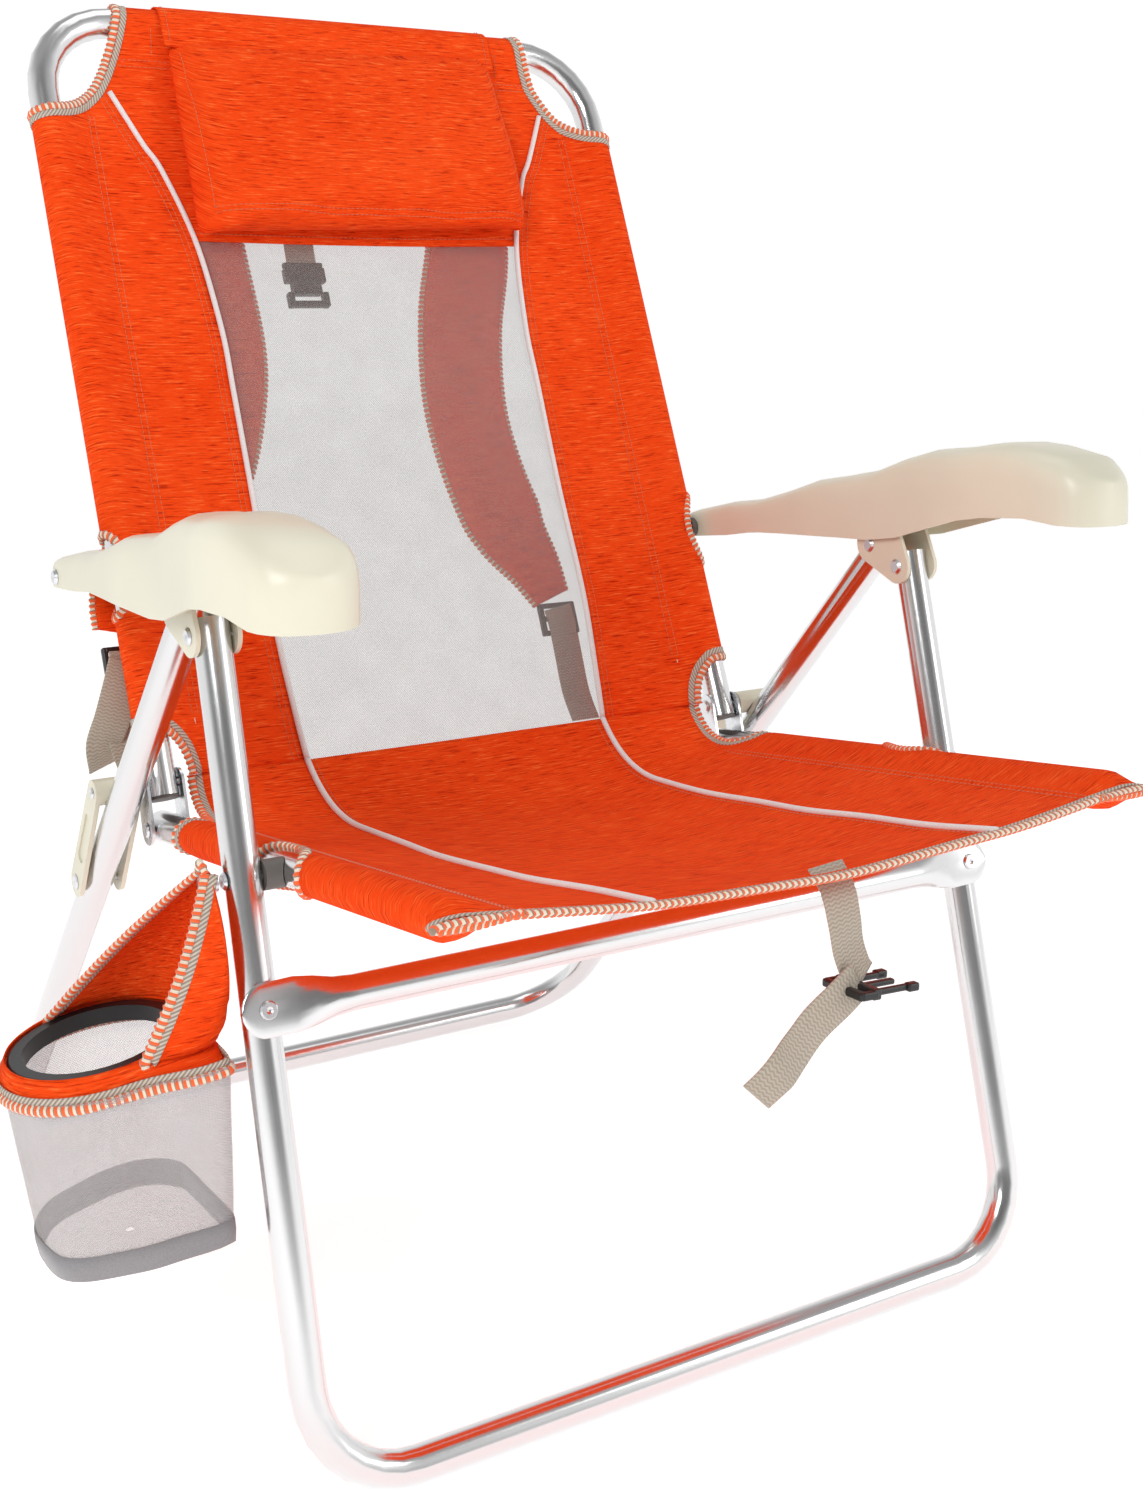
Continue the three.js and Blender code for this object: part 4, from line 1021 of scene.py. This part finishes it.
def make_pillow(looks):
    """The headrest: a stuffed block with pinched sides, sewn along its lower lip."""
    section = smooth_line(pillow_section(), 0.006, closed=True)[:-1]
    middle = section.mean(0)
    points, faces = [], []
    rows = 49
    count = len(section)
    for row in range(rows):
        t = 2 * row / (rows - 1) - 1
        pinch = (1 - abs(t) ** 9) ** 0.5 * 0.72 + 0.28
        for up, fore in section:
            rise = middle[0] + (up - middle[0]) * (0.965 + 0.035 * pinch) + 0.004 * t
            depth = 0.004 + (fore - 0.004) * pinch
            depth += 0.0022 * max(0.0, fore - 0.01) / 0.02 * noise.noise(Vector((t * 3.2, up * 14, 2.0)))
            points.append(back_point(t * PILLOW_HALF, rise, depth))
    for row in range(rows - 1):
        for k in range(count):
            a, b = row * count + k, row * count + (k + 1) % count
            faces.append((a, b, b + count, a + count))
    faces.append(tuple(reversed(range(count))))
    faces.append(tuple(range((rows - 1) * count, rows * count)))
    pillow = inflated(add_mesh("pillow_pad", points, faces, looks["cloth"]), 0.0045, 4.0, 0.004)
    press_seams(pillow)
    flat_from_back(pillow)
    subdivide(pillow)
    attach(pillow, "back", "pillow")
    make_pillow_flap(looks)
    sew_pillow(pillow, looks)


def press_seams(pillow):
    """Draw the cloth in along the lip seam and the two side seams."""
    for vertex in pillow.data.vertices:
        across, up, fore = in_back_plane(vertex.co)
        if fore < 0.012:
            continue
        lip = math.exp(-((up - PILLOW_LOW - LIP_IN) / 0.0035) ** 2)
        ends = math.exp(-((abs(across) - PILLOW_HALF + SIDE_IN) / 0.0035) ** 2)
        vertex.co -= BACK_FORE * (0.0022 * max(lip, ends))


def subdivide(piece):
    """Round off a mesh without changing its points."""
    piece.modifiers.new("smooth", "SUBSURF").levels = 1
    piece.modifiers["smooth"].render_levels = 1


def on_front_of(piece):
    """A wrap function that lays flat points on the front of a piece that lies on the back."""
    points = [tuple(vertex.co) for vertex in piece.data.vertices]
    tree = BVHTree.FromPolygons(points, [tuple(face.vertices) for face in piece.data.polygons])

    def wrap(across, up, height=0.0):
        hit, *_ = tree.ray_cast(back_point(across, up, 0.2), -BACK_FORE)
        place = hit if hit is not None else back_point(across, up, 0.012)
        return place + BACK_FORE * height

    return wrap


def sew_pillow(pillow, looks):
    """Stitches along the pillow's lip and sides."""
    wrap = on_front_of(pillow)
    low = PILLOW_LOW + LIP_IN
    edge = PILLOW_HALF - SIDE_IN
    rows = [[(-edge, low), (edge, low)], [(-edge, low - 0.004), (edge, low - 0.004)]]
    rows += [[(side * edge, low), (side * edge, PILLOW_HIGH - 0.012)] for side in (1, -1)]
    sewn = [stitches("pillow_seam", wrap, row, looks["thread"]) for row in rows]
    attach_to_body(joined("pillow_stitching", sewn), "back")


def make_pillow_flap(looks):
    """The cloth that holds the pillow, from its top edge over the bar and down behind."""
    radius = SLEEVE_R + 0.0022
    front, rear = 0.024, 0.062
    arc = math.pi * radius

    def wrap(across, along, height=0.0):
        uneven = ripple(across, along, 5.3, 0.0012)
        if along < 0:
            return back_point(across, BACK_LENGTH + along, radius + height + 0.5 * uneven)
        if along < arc:
            turn = along / radius
            reach = radius + height
            return back_point(across, BACK_LENGTH + reach * math.sin(turn), reach * math.cos(turn))
        return back_point(across, BACK_LENGTH - (along - arc), -radius - height)

    half = PILLOW_HALF - 0.001
    corners = [(-half, -front), (half, -front), (half, arc + rear), (-half, arc + rear)]
    loop = outline(corners, 0.004)
    flap = cloth_piece("pillow_flap", [loop], wrap, looks["cloth"], spacing=0.004)
    attach(flap, "back")
    declare_sheet([loop])
    sewn = [
        stitches("flap_seam", wrap, [(x, -0.020), (x, arc)], looks["thread"])
        for x in (-half + 0.005, half - 0.005)
    ]
    for side in (1, -1):
        tack = [(side * (PILLOW_HALF + 0.006), HEM_SEAM + up) for up in (0.008, 0.028)]
        sewn.append(stitches("flap_tack", wrap_back, tack, looks["thread"]))
    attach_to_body(joined("pillow_flap_stitching", sewn), "back")


def strap_edges(route, width, end_width):
    """The two edges of a padded strap in the flat, narrowing over its last fifth."""
    line = smooth_line(route, 0.006)
    tangent = np.gradient(line, axis=0)
    tangent /= np.linalg.norm(tangent, axis=1)[:, None]
    square = np.stack([-tangent[:, 1], tangent[:, 0]], axis=1)
    at = np.linspace(0, 1, len(line))
    half = (width + (end_width - width) * np.clip((at - 0.8) / 0.2, 0, 1))[:, None] / 2
    return line + square * half, line - square * half


def wrap_strap(across, up, height=0.0):
    """Lay a flat point in the padded straps' plane behind the back."""
    return back_point(across, up, STRAP_FORE + height)


def make_padded_strap(key, looks):
    """A shoulder strap: stuffed cloth with bound edges, hanging behind the back."""
    left, right = strap_edges(STRAP_ROUTES[key], STRAP_W, STRAP_END_W)
    loop = np.concatenate([left, even_line([left[-1], right[-1]], 0.006)[1:-1], right[::-1],
                           even_line([right[0], left[0]], 0.006)[1:-1]])
    places, faces = flat_pattern([loop], 0.006)
    depth = [min(math.sqrt(((loop - place) ** 2).sum(1).min()), STRAP_EDGE) / STRAP_EDGE for place in places]
    swell = [STRAP_T / 2 * (0.25 + 0.75 * math.sqrt(1 - (1 - d) ** 2)) for d in depth]
    front = [wrap_strap(*place, high) for place, high in zip(places, swell)]
    rear = [wrap_strap(*place, -high) for place, high in zip(places, swell)]
    strap = closed_sheet("padded_strap_" + key, places, faces, front, rear, looks["cloth"])
    attach(strap, "back", "shoulder_strap_" + key)
    bound = overlock("strap_edge", wrap_strap, left, looks, -1)
    bound += overlock("strap_edge", wrap_strap, right, looks, 1)
    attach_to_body(joined("strap_binding_" + key, bound), "back")


# ---- Webbing and buckles ---------------------------------------------------------------------


def block(name, middle, axes, size, material, round_off=0.0012):
    """A box with softened edges, its three sides along the axes."""
    half = [extent / 2 for extent in size]
    corners = [
        Vector(middle) + axes[0] * (a * half[0]) + axes[1] * (b * half[1]) + axes[2] * (c * half[2])
        for a in (-1, 1) for b in (-1, 1) for c in (-1, 1)
    ]
    faces = [(0, 1, 3, 2), (4, 6, 7, 5), (0, 4, 5, 1), (2, 3, 7, 6), (0, 2, 6, 4), (1, 5, 7, 3)]
    made = add_mesh(name, corners, faces, material, smooth=False)
    bevel = made.modifiers.new("bevel", "BEVEL")
    bevel.width = min(round_off, min(size) * 0.4)
    bevel.segments = 2
    bpy.context.view_layer.objects.active = made
    bpy.ops.object.modifier_apply(modifier="bevel")
    return made


def ladder_lock(name, middle, across, down, out, looks):
    """A two-bar adjuster: a frame with two cross bars, for 25 mm webbing."""
    axes = (across, down, out)
    width, height, bar = 0.033, 0.026, 0.0042
    pieces = [
        block(name, middle + across * (side * (width - bar) / 2), axes, (bar, height, 0.005), looks["black"])
        for side in (1, -1)
    ]
    for shift, lift in ((-0.5, 0.0), (0.02, 0.0012), (0.5, 0.001)):
        place = middle + down * (shift * (height - bar)) + out * lift
        pieces.append(block(name, place, axes, (width - 0.004, bar, 0.0035), looks["black"]))
    return joined(name, pieces)


def buckle(name, middle, axes, body, looks):
    """Plastic blocks in one plane, each given as its middle and size in the plane, and its thickness."""
    pieces = [
        block(name, middle + axes[0] * at[0] + axes[1] * at[1], axes, (*size, thick), looks["black"])
        for at, size, thick in body
    ]
    return joined(name, pieces)


def both_sides(across, down, size, thick):
    """The same block on either side of a buckle's middle."""
    return [((side * across, down), size, thick) for side in (-1, 1)]


def side_release_socket(name, middle, axes, looks):
    """The female half of a side-release buckle, with its open flanks and webbing bar."""
    body = [((0, -0.003), (0.024, 0.022), 0.008)]
    body += both_sides(0.0145, -0.008, (0.005, 0.012), 0.007)
    body += both_sides(0.0145, 0.012, (0.005, 0.012), 0.007)
    body += [((0, 0.0155), (0.032, 0.005), 0.006), ((0, -0.0165), (0.033, 0.0042), 0.005)]
    return buckle(name, middle, axes, body, looks)


def side_release_plug(name, middle, axes, looks):
    """The male half: a webbing bar, two spring prongs and a guide between them."""
    body = [((0, -0.018), (0.034, 0.005), 0.005), ((0, -0.008), (0.034, 0.006), 0.0065)]
    body += both_sides(0.0155, -0.013, (0.004, 0.012), 0.005)
    body += both_sides(0.0125, 0.008, (0.0035, 0.028), 0.004)
    body += both_sides(0.0135, 0.020, (0.0055, 0.008), 0.005)
    body += [((0, 0.006), (0.0045, 0.024), 0.0035)]
    return buckle(name, middle, axes, body, looks)


def hang_webbing(name, knots, facing, looks, node=None):
    """Flat webbing through the knots; facing gives the outward direction at each end."""
    centres = smooth_line(knots, 0.003)
    first, last = Vector(facing[0]), Vector(facing[1])
    normals = [first.lerp(last, i / (len(centres) - 1)).normalized() for i in range(len(centres))]
    made = strap_mesh(name, centres, normals, WEB_W, WEB_T, looks["webbing"])
    if node:
        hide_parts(node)
    return made


# Name, the CAD node it stands for, and knots: across, up the back, and ahead of the padded straps.
BACK_WEBBING = (
    ("lower_webbing_l", "strap_webbing_l", (
        (0.115, 0.098, 0.003), (0.117, 0.084, 0.002), (0.118, 0.060, 0), (0.119, 0.030, -0.002),
        (0.119, 0.006, 0.004))),
    ("lower_webbing_r", "strap_webbing_r", (
        (-0.238, 0.098, 0.003), (-0.239, 0.084, 0.002), (-0.243, 0.062, -0.005), (-0.244, 0.036, -0.010),
        (-0.240, 0.008, -0.004))),
    ("webbing_tail_r", None, (
        (-0.240, 0.090, 0.006), (-0.247, 0.074, 0.008), (-0.255, 0.052, 0.001), (-0.260, 0.036, -0.012),
        (-0.257, 0.024, -0.026))),
    ("upper_webbing", "top_webbing", (
        (-0.0465, 0.470, 0.001), (-0.0465, 0.430, 0.001), (-0.0475, 0.400, 0.001), (-0.048, 0.386, 0.001))),
)


def make_back_straps(looks):
    """Shoulder straps, their adjusters and webbing, and the strap with the buckle socket."""
    for key in ("l", "r"):
        make_padded_strap(key, looks)
    for key, across in (("l", 0.1155), ("r", -0.238)):
        middle = back_point(across, 0.089, STRAP_FORE)
        lock = ladder_lock("adjuster_" + key, middle, X_AXIS, BACK_UP, BACK_FORE, looks)
        attach(lock, "back", "strap_lock_" + key)
    for name, node, knots in BACK_WEBBING:
        places = [back_point(x, up, STRAP_FORE + fore) for x, up, fore in knots]
        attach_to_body(hang_webbing(name, places, (BACK_FORE, BACK_FORE), looks, node), "back")
    middle = back_point(-0.048, 0.371, STRAP_FORE + 0.002)
    socket = side_release_socket("buckle_socket", middle, (X_AXIS, -BACK_UP, BACK_FORE), looks)
    attach(socket, "back", "top_buckle")


def make_front_strap(looks):
    """The strap with the buckle plug that hangs from under the seat's front edge."""
    edge = seat_point(0, SEAT_FRONT)
    front = Vector((0, -1, 0))

    def hanging(x, drop, fore=0.0):
        return Vector((x, edge.y + 0.006 - fore, edge.z - drop))

    upper = [hanging(0.008, 0.014, -0.014), hanging(0.009, 0.026, -0.004), hanging(0.011, 0.044),
             hanging(0.014, 0.060), hanging(0.018, 0.073, 0.002), hanging(0.022, 0.079, 0.003)]
    tail = [hanging(0.016, 0.078, 0.006), hanging(0.002, 0.086, 0.007), hanging(-0.013, 0.098, 0.004),
            hanging(-0.026, 0.111, 0.003), hanging(-0.040, 0.121, 0.006), hanging(-0.052, 0.133, 0.001)]
    for name, knots, last, node in (
        ("hanging_webbing", upper, (0.15, -1, 0.25), "front_webbing"),
        ("hanging_tail", tail, (0.3, -0.9, 0.3), "front_webbing_tail"),
    ):
        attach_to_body(hang_webbing(name, knots, (front, last), looks, node), "seat")
    lie = Vector((0.99, 0.0, -0.05)).normalized()
    out = Vector((0.0, 0.02, 1.0))
    out = (out - lie * out.dot(lie)).normalized()
    plug = side_release_plug("buckle_plug", hanging(0.026, 0.083, 0.004), (lie.cross(out), lie, out), looks)
    attach(plug, "seat", "front_buckle")


# ---- Cup holder ------------------------------------------------------------------------------

CUP = Vector((-0.340, -0.165, 0.2465))  # middle of the ring
CUP_TILT = math.radians(9)
RING_R = 0.0515
LEG_SIDE = -0.2868  # the cup's cloth is pressed flat against this plane beside the leg
CUP_OUT = Vector((math.cos(CUP_TILT), 0, math.sin(CUP_TILT)))  # in the ring, towards the chair
CUP_UP = Vector((-math.sin(CUP_TILT), 0, math.cos(CUP_TILT)))
APEX = Vector((LEG_SIDE, -0.2135, 0.3585))
MOUTH = (math.radians(-80), math.radians(106))  # the hood's cloth covers this part of the ring
HOOD_REACH = 0.955  # how far the hood's cloth goes from the ring to its apex
POUCH_R = 0.0565
POUCH_DEPTH = 0.104
BAND_R = (0.0522, 0.0585)  # the orange band, from inside the ring's top to its bound lower edge
PULL = 0.032  # how far the cloth is stretched from the ring towards the front leg
PULL_TURN = -0.88  # where round the ring it is stretched most, and over what width
PULL_WIDTH = 0.36
PATTERN_GIRTH = 0.34  # width given to one turn of cloth in the material's flat coordinates


def beside_leg(place):
    """Keep cloth clear of the folding legs and links, beside them."""
    place.x = min(place.x, LEG_SIDE)
    return place


def pulled_to_leg(turn):
    """Extra radius where the cloth is stretched from the ring to the front leg."""
    away = (turn + math.pi) % (2 * math.pi) - math.pi - PULL_TURN
    return PULL * math.exp(-((away / PULL_WIDTH) ** 2))


def ring_point(turn, radius, height):
    """A point round the ring: turn 0 is next to the chair's leg, a quarter turn is the rear."""
    way = CUP_OUT * math.cos(turn) + Vector((0, 1, 0)) * math.sin(turn)
    return beside_leg(CUP + way * radius + CUP_UP * height)


def pouch_point(turn, drop, swell=0.0):
    """A point on the pouch: it is longer to the front than across, and narrows downwards."""
    t = drop / 0.106
    fold = 0.0016 * noise.noise(Vector((2.2 * math.cos(turn), 2.2 * math.sin(turn), 14 * drop)))
    fold += 0.0012 * math.sin(5 * turn + 22 * drop) * t
    radius = POUCH_R - 0.0055 * t + swell + fold + pulled_to_leg(turn) * (1 - 0.25 * t)
    top = CUP + CUP_OUT * (radius * math.cos(turn)) - CUP_UP * 0.006
    top += Vector((0.010 * t, -0.004 - 0.006 * t + radius * math.sin(turn), 0))
    return beside_leg(top - Vector((0, 0, drop)))


def lofted(name, rows, material, lengths, closed=True):
    """A thin sheet through rows of points, with flat coordinates in metres."""
    count = len(rows[0])
    spans = count if closed else count - 1
    faces = []
    for row in range(len(rows) - 1):
        for k in range(spans):
            a, b = row * count + k, row * count + (k + 1) % count
            faces.append((a, b, b + count, a + count))
    points = [place for row in rows for place in row]
    uvs = [(k / count * PATTERN_GIRTH, length) for length in lengths for k in range(count)]
    return add_mesh(name, points, faces, material, uvs)


def row_length(row, closed=False):
    """Length along a row of points, and back to its start if it is closed."""
    row = list(row)
    following = row[1:] + row[:1] if closed else row[1:]
    return sum((b - a).length for a, b in zip(row, following))


def thicken(piece, thickness):
    """Give a thin sheet its thickness."""
    made = piece.modifiers.new("cloth", "SOLIDIFY")
    made.thickness = thickness
    made.offset = 0
    return piece


def make_cup_pouch(looks):
    """The mesh pouch with a plain hem round its floor."""
    around = np.linspace(0, 2 * math.pi, 72, endpoint=False)
    drops = np.linspace(0.0, POUCH_DEPTH, 18)
    side_rows = [[pouch_point(a, d) for a in around] for d in drops]
    girth = sum(row_length(row, closed=True) for row in side_rows) / len(side_rows)
    sides = lofted("cup_mesh", side_rows, looks["pouch"], drops)
    shrink = np.linspace(1.0, 0.05, 8)
    rim = [pouch_point(a, POUCH_DEPTH) for a in around]
    middle = sum(rim, Vector()) / len(rim)
    dip = Vector((0, 0, 0.002))
    rows = [[middle + (place - middle) * f - dip * (1 - f) for place in rim] for f in shrink]
    floor = lofted("cup_floor", rows, looks["pouch"], shrink * 0.05)
    thicken(sides, 0.0006)
    thicken(floor, 0.0006)
    hem_drops = [0.092, 0.098, 0.106, 0.1075]
    swells = [0.0008, 0.0016, 0.0014, -0.001]
    rows = [[pouch_point(a, d, g) for a in around] for d, g in zip(hem_drops, swells)]
    hem = lofted("cup_hem", rows, looks["hem"], hem_drops)
    thicken(hem, 0.0008)
    attach(sides, "front_frame", "cup_pouch")
    for piece in (floor, hem):
        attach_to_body(piece, "front_frame")
    side_loop = np.array([(0, 0), (girth, 0), (girth, drops[-1]), (0, drops[-1])])
    declare_sheet([side_loop])


def band_point(turn, radius, height):
    """A point on the band: its lower edge takes all of the pull towards the leg, its upper edge little."""
    return ring_point(turn, radius + pulled_to_leg(turn) * (radius - RING_R) / 0.0065, height)


def make_cup_rim(looks):
    """The orange band that holds the ring, and its bound lower edge."""
    around = np.linspace(0, 2 * math.pi, 120, endpoint=False)
    steps = [(BAND_R[0], 0.0062), (0.0535, 0.004), (0.056, -0.001), (0.058, -0.008)]
    rows = [[band_point(a, r, h) for a in around] for r, h in steps]
    band = lofted("cup_band", rows, looks["cloth"], [h for _, h in steps])
    thicken(band, 0.0010)
    fine = np.linspace(0, 2 * math.pi, 420, endpoint=False)
    centres = [ring_point(a, BAND_R[1] + pulled_to_leg(a), -0.0095) for a in fine]
    normals = [(ring_point(a, 0.07, 0) - ring_point(a, 0.05, 0)) for a in fine]
    normals = [n.normalized() if n.length > 1e-6 else Vector((1, 0, 0)) for n in normals]
    cord = tube_mesh("cup_rim_cord", centres, 0.0033, looks["overlock"], sides=8, closed=True)
    above = [ring_point(a, 0.0583 + pulled_to_leg(a), -0.0045) for a in fine[::3]]
    tape = strap_mesh("cup_rim_tape", above, normals[::3], TAPE_W, TAPE_T, looks["tape"])
    trim = joined("cup_rim", [cord, tape])
    for piece in (band, trim):
        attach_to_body(piece, "front_frame")


def hood_point(turn, t):
    """The hood is drawn straight from the ring (t = 0) to its apex (t = 1), with a slight belly."""
    base = ring_point(turn, 0.0528 + 0.8 * pulled_to_leg(turn), 0.004)
    place = base.lerp(APEX, t)
    belly = (0.006 + 0.55 * pulled_to_leg(turn)) * math.sin(math.pi * t)
    place += (base - CUP).normalized() * belly
    return beside_leg(place)


def make_cup_hood(looks):
    """Half a cone of cloth from the ring up to the snap on the leg, open on its outer side."""
    turns = np.linspace(*MOUTH, 40)
    heights = np.linspace(0, HOOD_REACH, 22)
    rows = [[hood_point(a, t) for a in turns] for t in heights]
    hood = lofted("cup_hood_cloth", rows, looks["cloth"], heights * 0.10, closed=False)
    thicken(hood, 0.0011)
    attach(hood, "front_frame", "cup_hood")
    base, tip = row_length(rows[0]) / 2, row_length(rows[-1]) / 2
    slant = sum(row_length(column) for column in zip(*rows)) / len(turns)
    hood_loop = np.array([(-base, 0), (base, 0), (tip, slant), (-tip, slant)])
    declare_sheet([hood_loop])
    fine = np.linspace(-0.03, HOOD_REACH, 150)
    trim = []
    over_top = []
    for turn, inward in ((MOUTH[0], 1), (MOUTH[1], -1)):
        centres = [hood_point(turn, max(t, 0)) + CUP_UP * min(t, 0) * 0.1 for t in fine]
        beside = [hood_point(turn + inward * 0.075, max(t, 0)) for t in fine]
        across = [(b - c).normalized() for b, c in zip(beside, centres)]
        along = (centres[-1] - centres[0]).normalized()
        normals = [along.cross(a).normalized() * inward for a in across]
        trim.append(edge_cord("hood_cord", centres, normals, looks))
        tape = [c + a * TAPE_IN for c, a in zip(centres, across)]
        trim.append(strap_mesh("hood_tape", tape[::4], normals[::4], TAPE_W, 0.0024, looks["tape"]))
        over_top.append(centres[-1])
    middle = (over_top[0] + over_top[1]) / 2 + Vector((-0.001, 0, 0.006))
    arch = smooth_line([over_top[0], middle, over_top[1]], 0.0009)
    trim.append(edge_cord("hood_cord", arch, [Vector((-1, 0, 0))] * len(arch), looks))
    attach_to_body(joined("hood_binding", trim), "front_frame")


# ---- Materials for the CAD's own pieces ------------------------------------------------------


def smooth_faces(node, sharp=math.radians(32)):
    """Shade a faceted surface as smooth, except at its real edges."""
    node.data.polygons.foreach_set("use_smooth", [True] * len(node.data.polygons))
    if "custom_normal" in node.data.attributes:
        node.data.attributes.remove(node.data.attributes["custom_normal"])
    node.modifiers.new("weld", "WELD").merge_threshold = 1e-5
    node.modifiers.new("edges", "EDGE_SPLIT").split_angle = sharp


def dress_nodes(looks):
    """Give every CAD node that stays in view its material."""
    by_slot = {
        "tube": looks["aluminium"], "hardware": looks["steel"], "cream_plastic": looks["cream"],
        "grey_plastic": looks["grey"], "black_plastic": looks["black"], "sling_cloth": looks["cloth"],
        "mesh_cloth": looks["mesh"], "webbing": looks["webbing"],
    }
    for part in frame["record"]["subparts"]:
        node = NODES[part["node"]]
        smooth_faces(node)
        node.data.materials.clear()
        node.data.materials.append(by_slot[part["material_slot"]])


def make_floor(looks):
    """A plain floor, wide enough to fill every view."""
    size = 14.0
    steps = 8
    ticks = np.linspace(-size, size, steps + 1)
    points = [(x, y, -0.0005) for y in ticks for x in ticks]
    faces = []
    for row in range(steps):
        for column in range(steps):
            a = row * (steps + 1) + column
            faces.append((a, a + 1, a + steps + 2, a + steps + 1))
    add_mesh("floor", points, faces, looks["floor"])


def make_looks():
    """Every material, by a short name."""
    return {
        "aluminium": aluminium(),
        "steel": bright_steel(),
        "cream": moulded_plastic("cream_plastic", CREAM, 0.33),
        "grey": moulded_plastic("grey_plastic", (0.13, 0.12, 0.11), 0.5),
        "black": moulded_plastic("black_plastic", BLACK, 0.4),
        "cloth": heather_cloth(),
        "mesh": mesh_cloth("mesh_cloth", 0.28, MESH_GREY),
        "pouch": mesh_cloth("pouch_mesh", 0.33, POUCH_GREY),
        "hem": plain_thread("grey_hem", (0.30, 0.29, 0.30)),
        "webbing": woven_webbing(),
        "tape": bound_tape(),
        "overlock": overlock_cord(),
        "piping": plain_thread("piping", WHITE),
        "thread": plain_thread("thread", THREAD),
        "floor": floor_paint(),
    }


make_camera()
make_studio()
LOOKS = make_looks()
make_floor(LOOKS)
dress_nodes(LOOKS)
make_back(LOOKS)
make_window(LOOKS)
make_seat(LOOKS)
make_pillow(LOOKS)
make_back_straps(LOOKS)
make_front_strap(LOOKS)
make_cup_pouch(LOOKS)
make_cup_rim(LOOKS)
make_cup_hood(LOOKS)
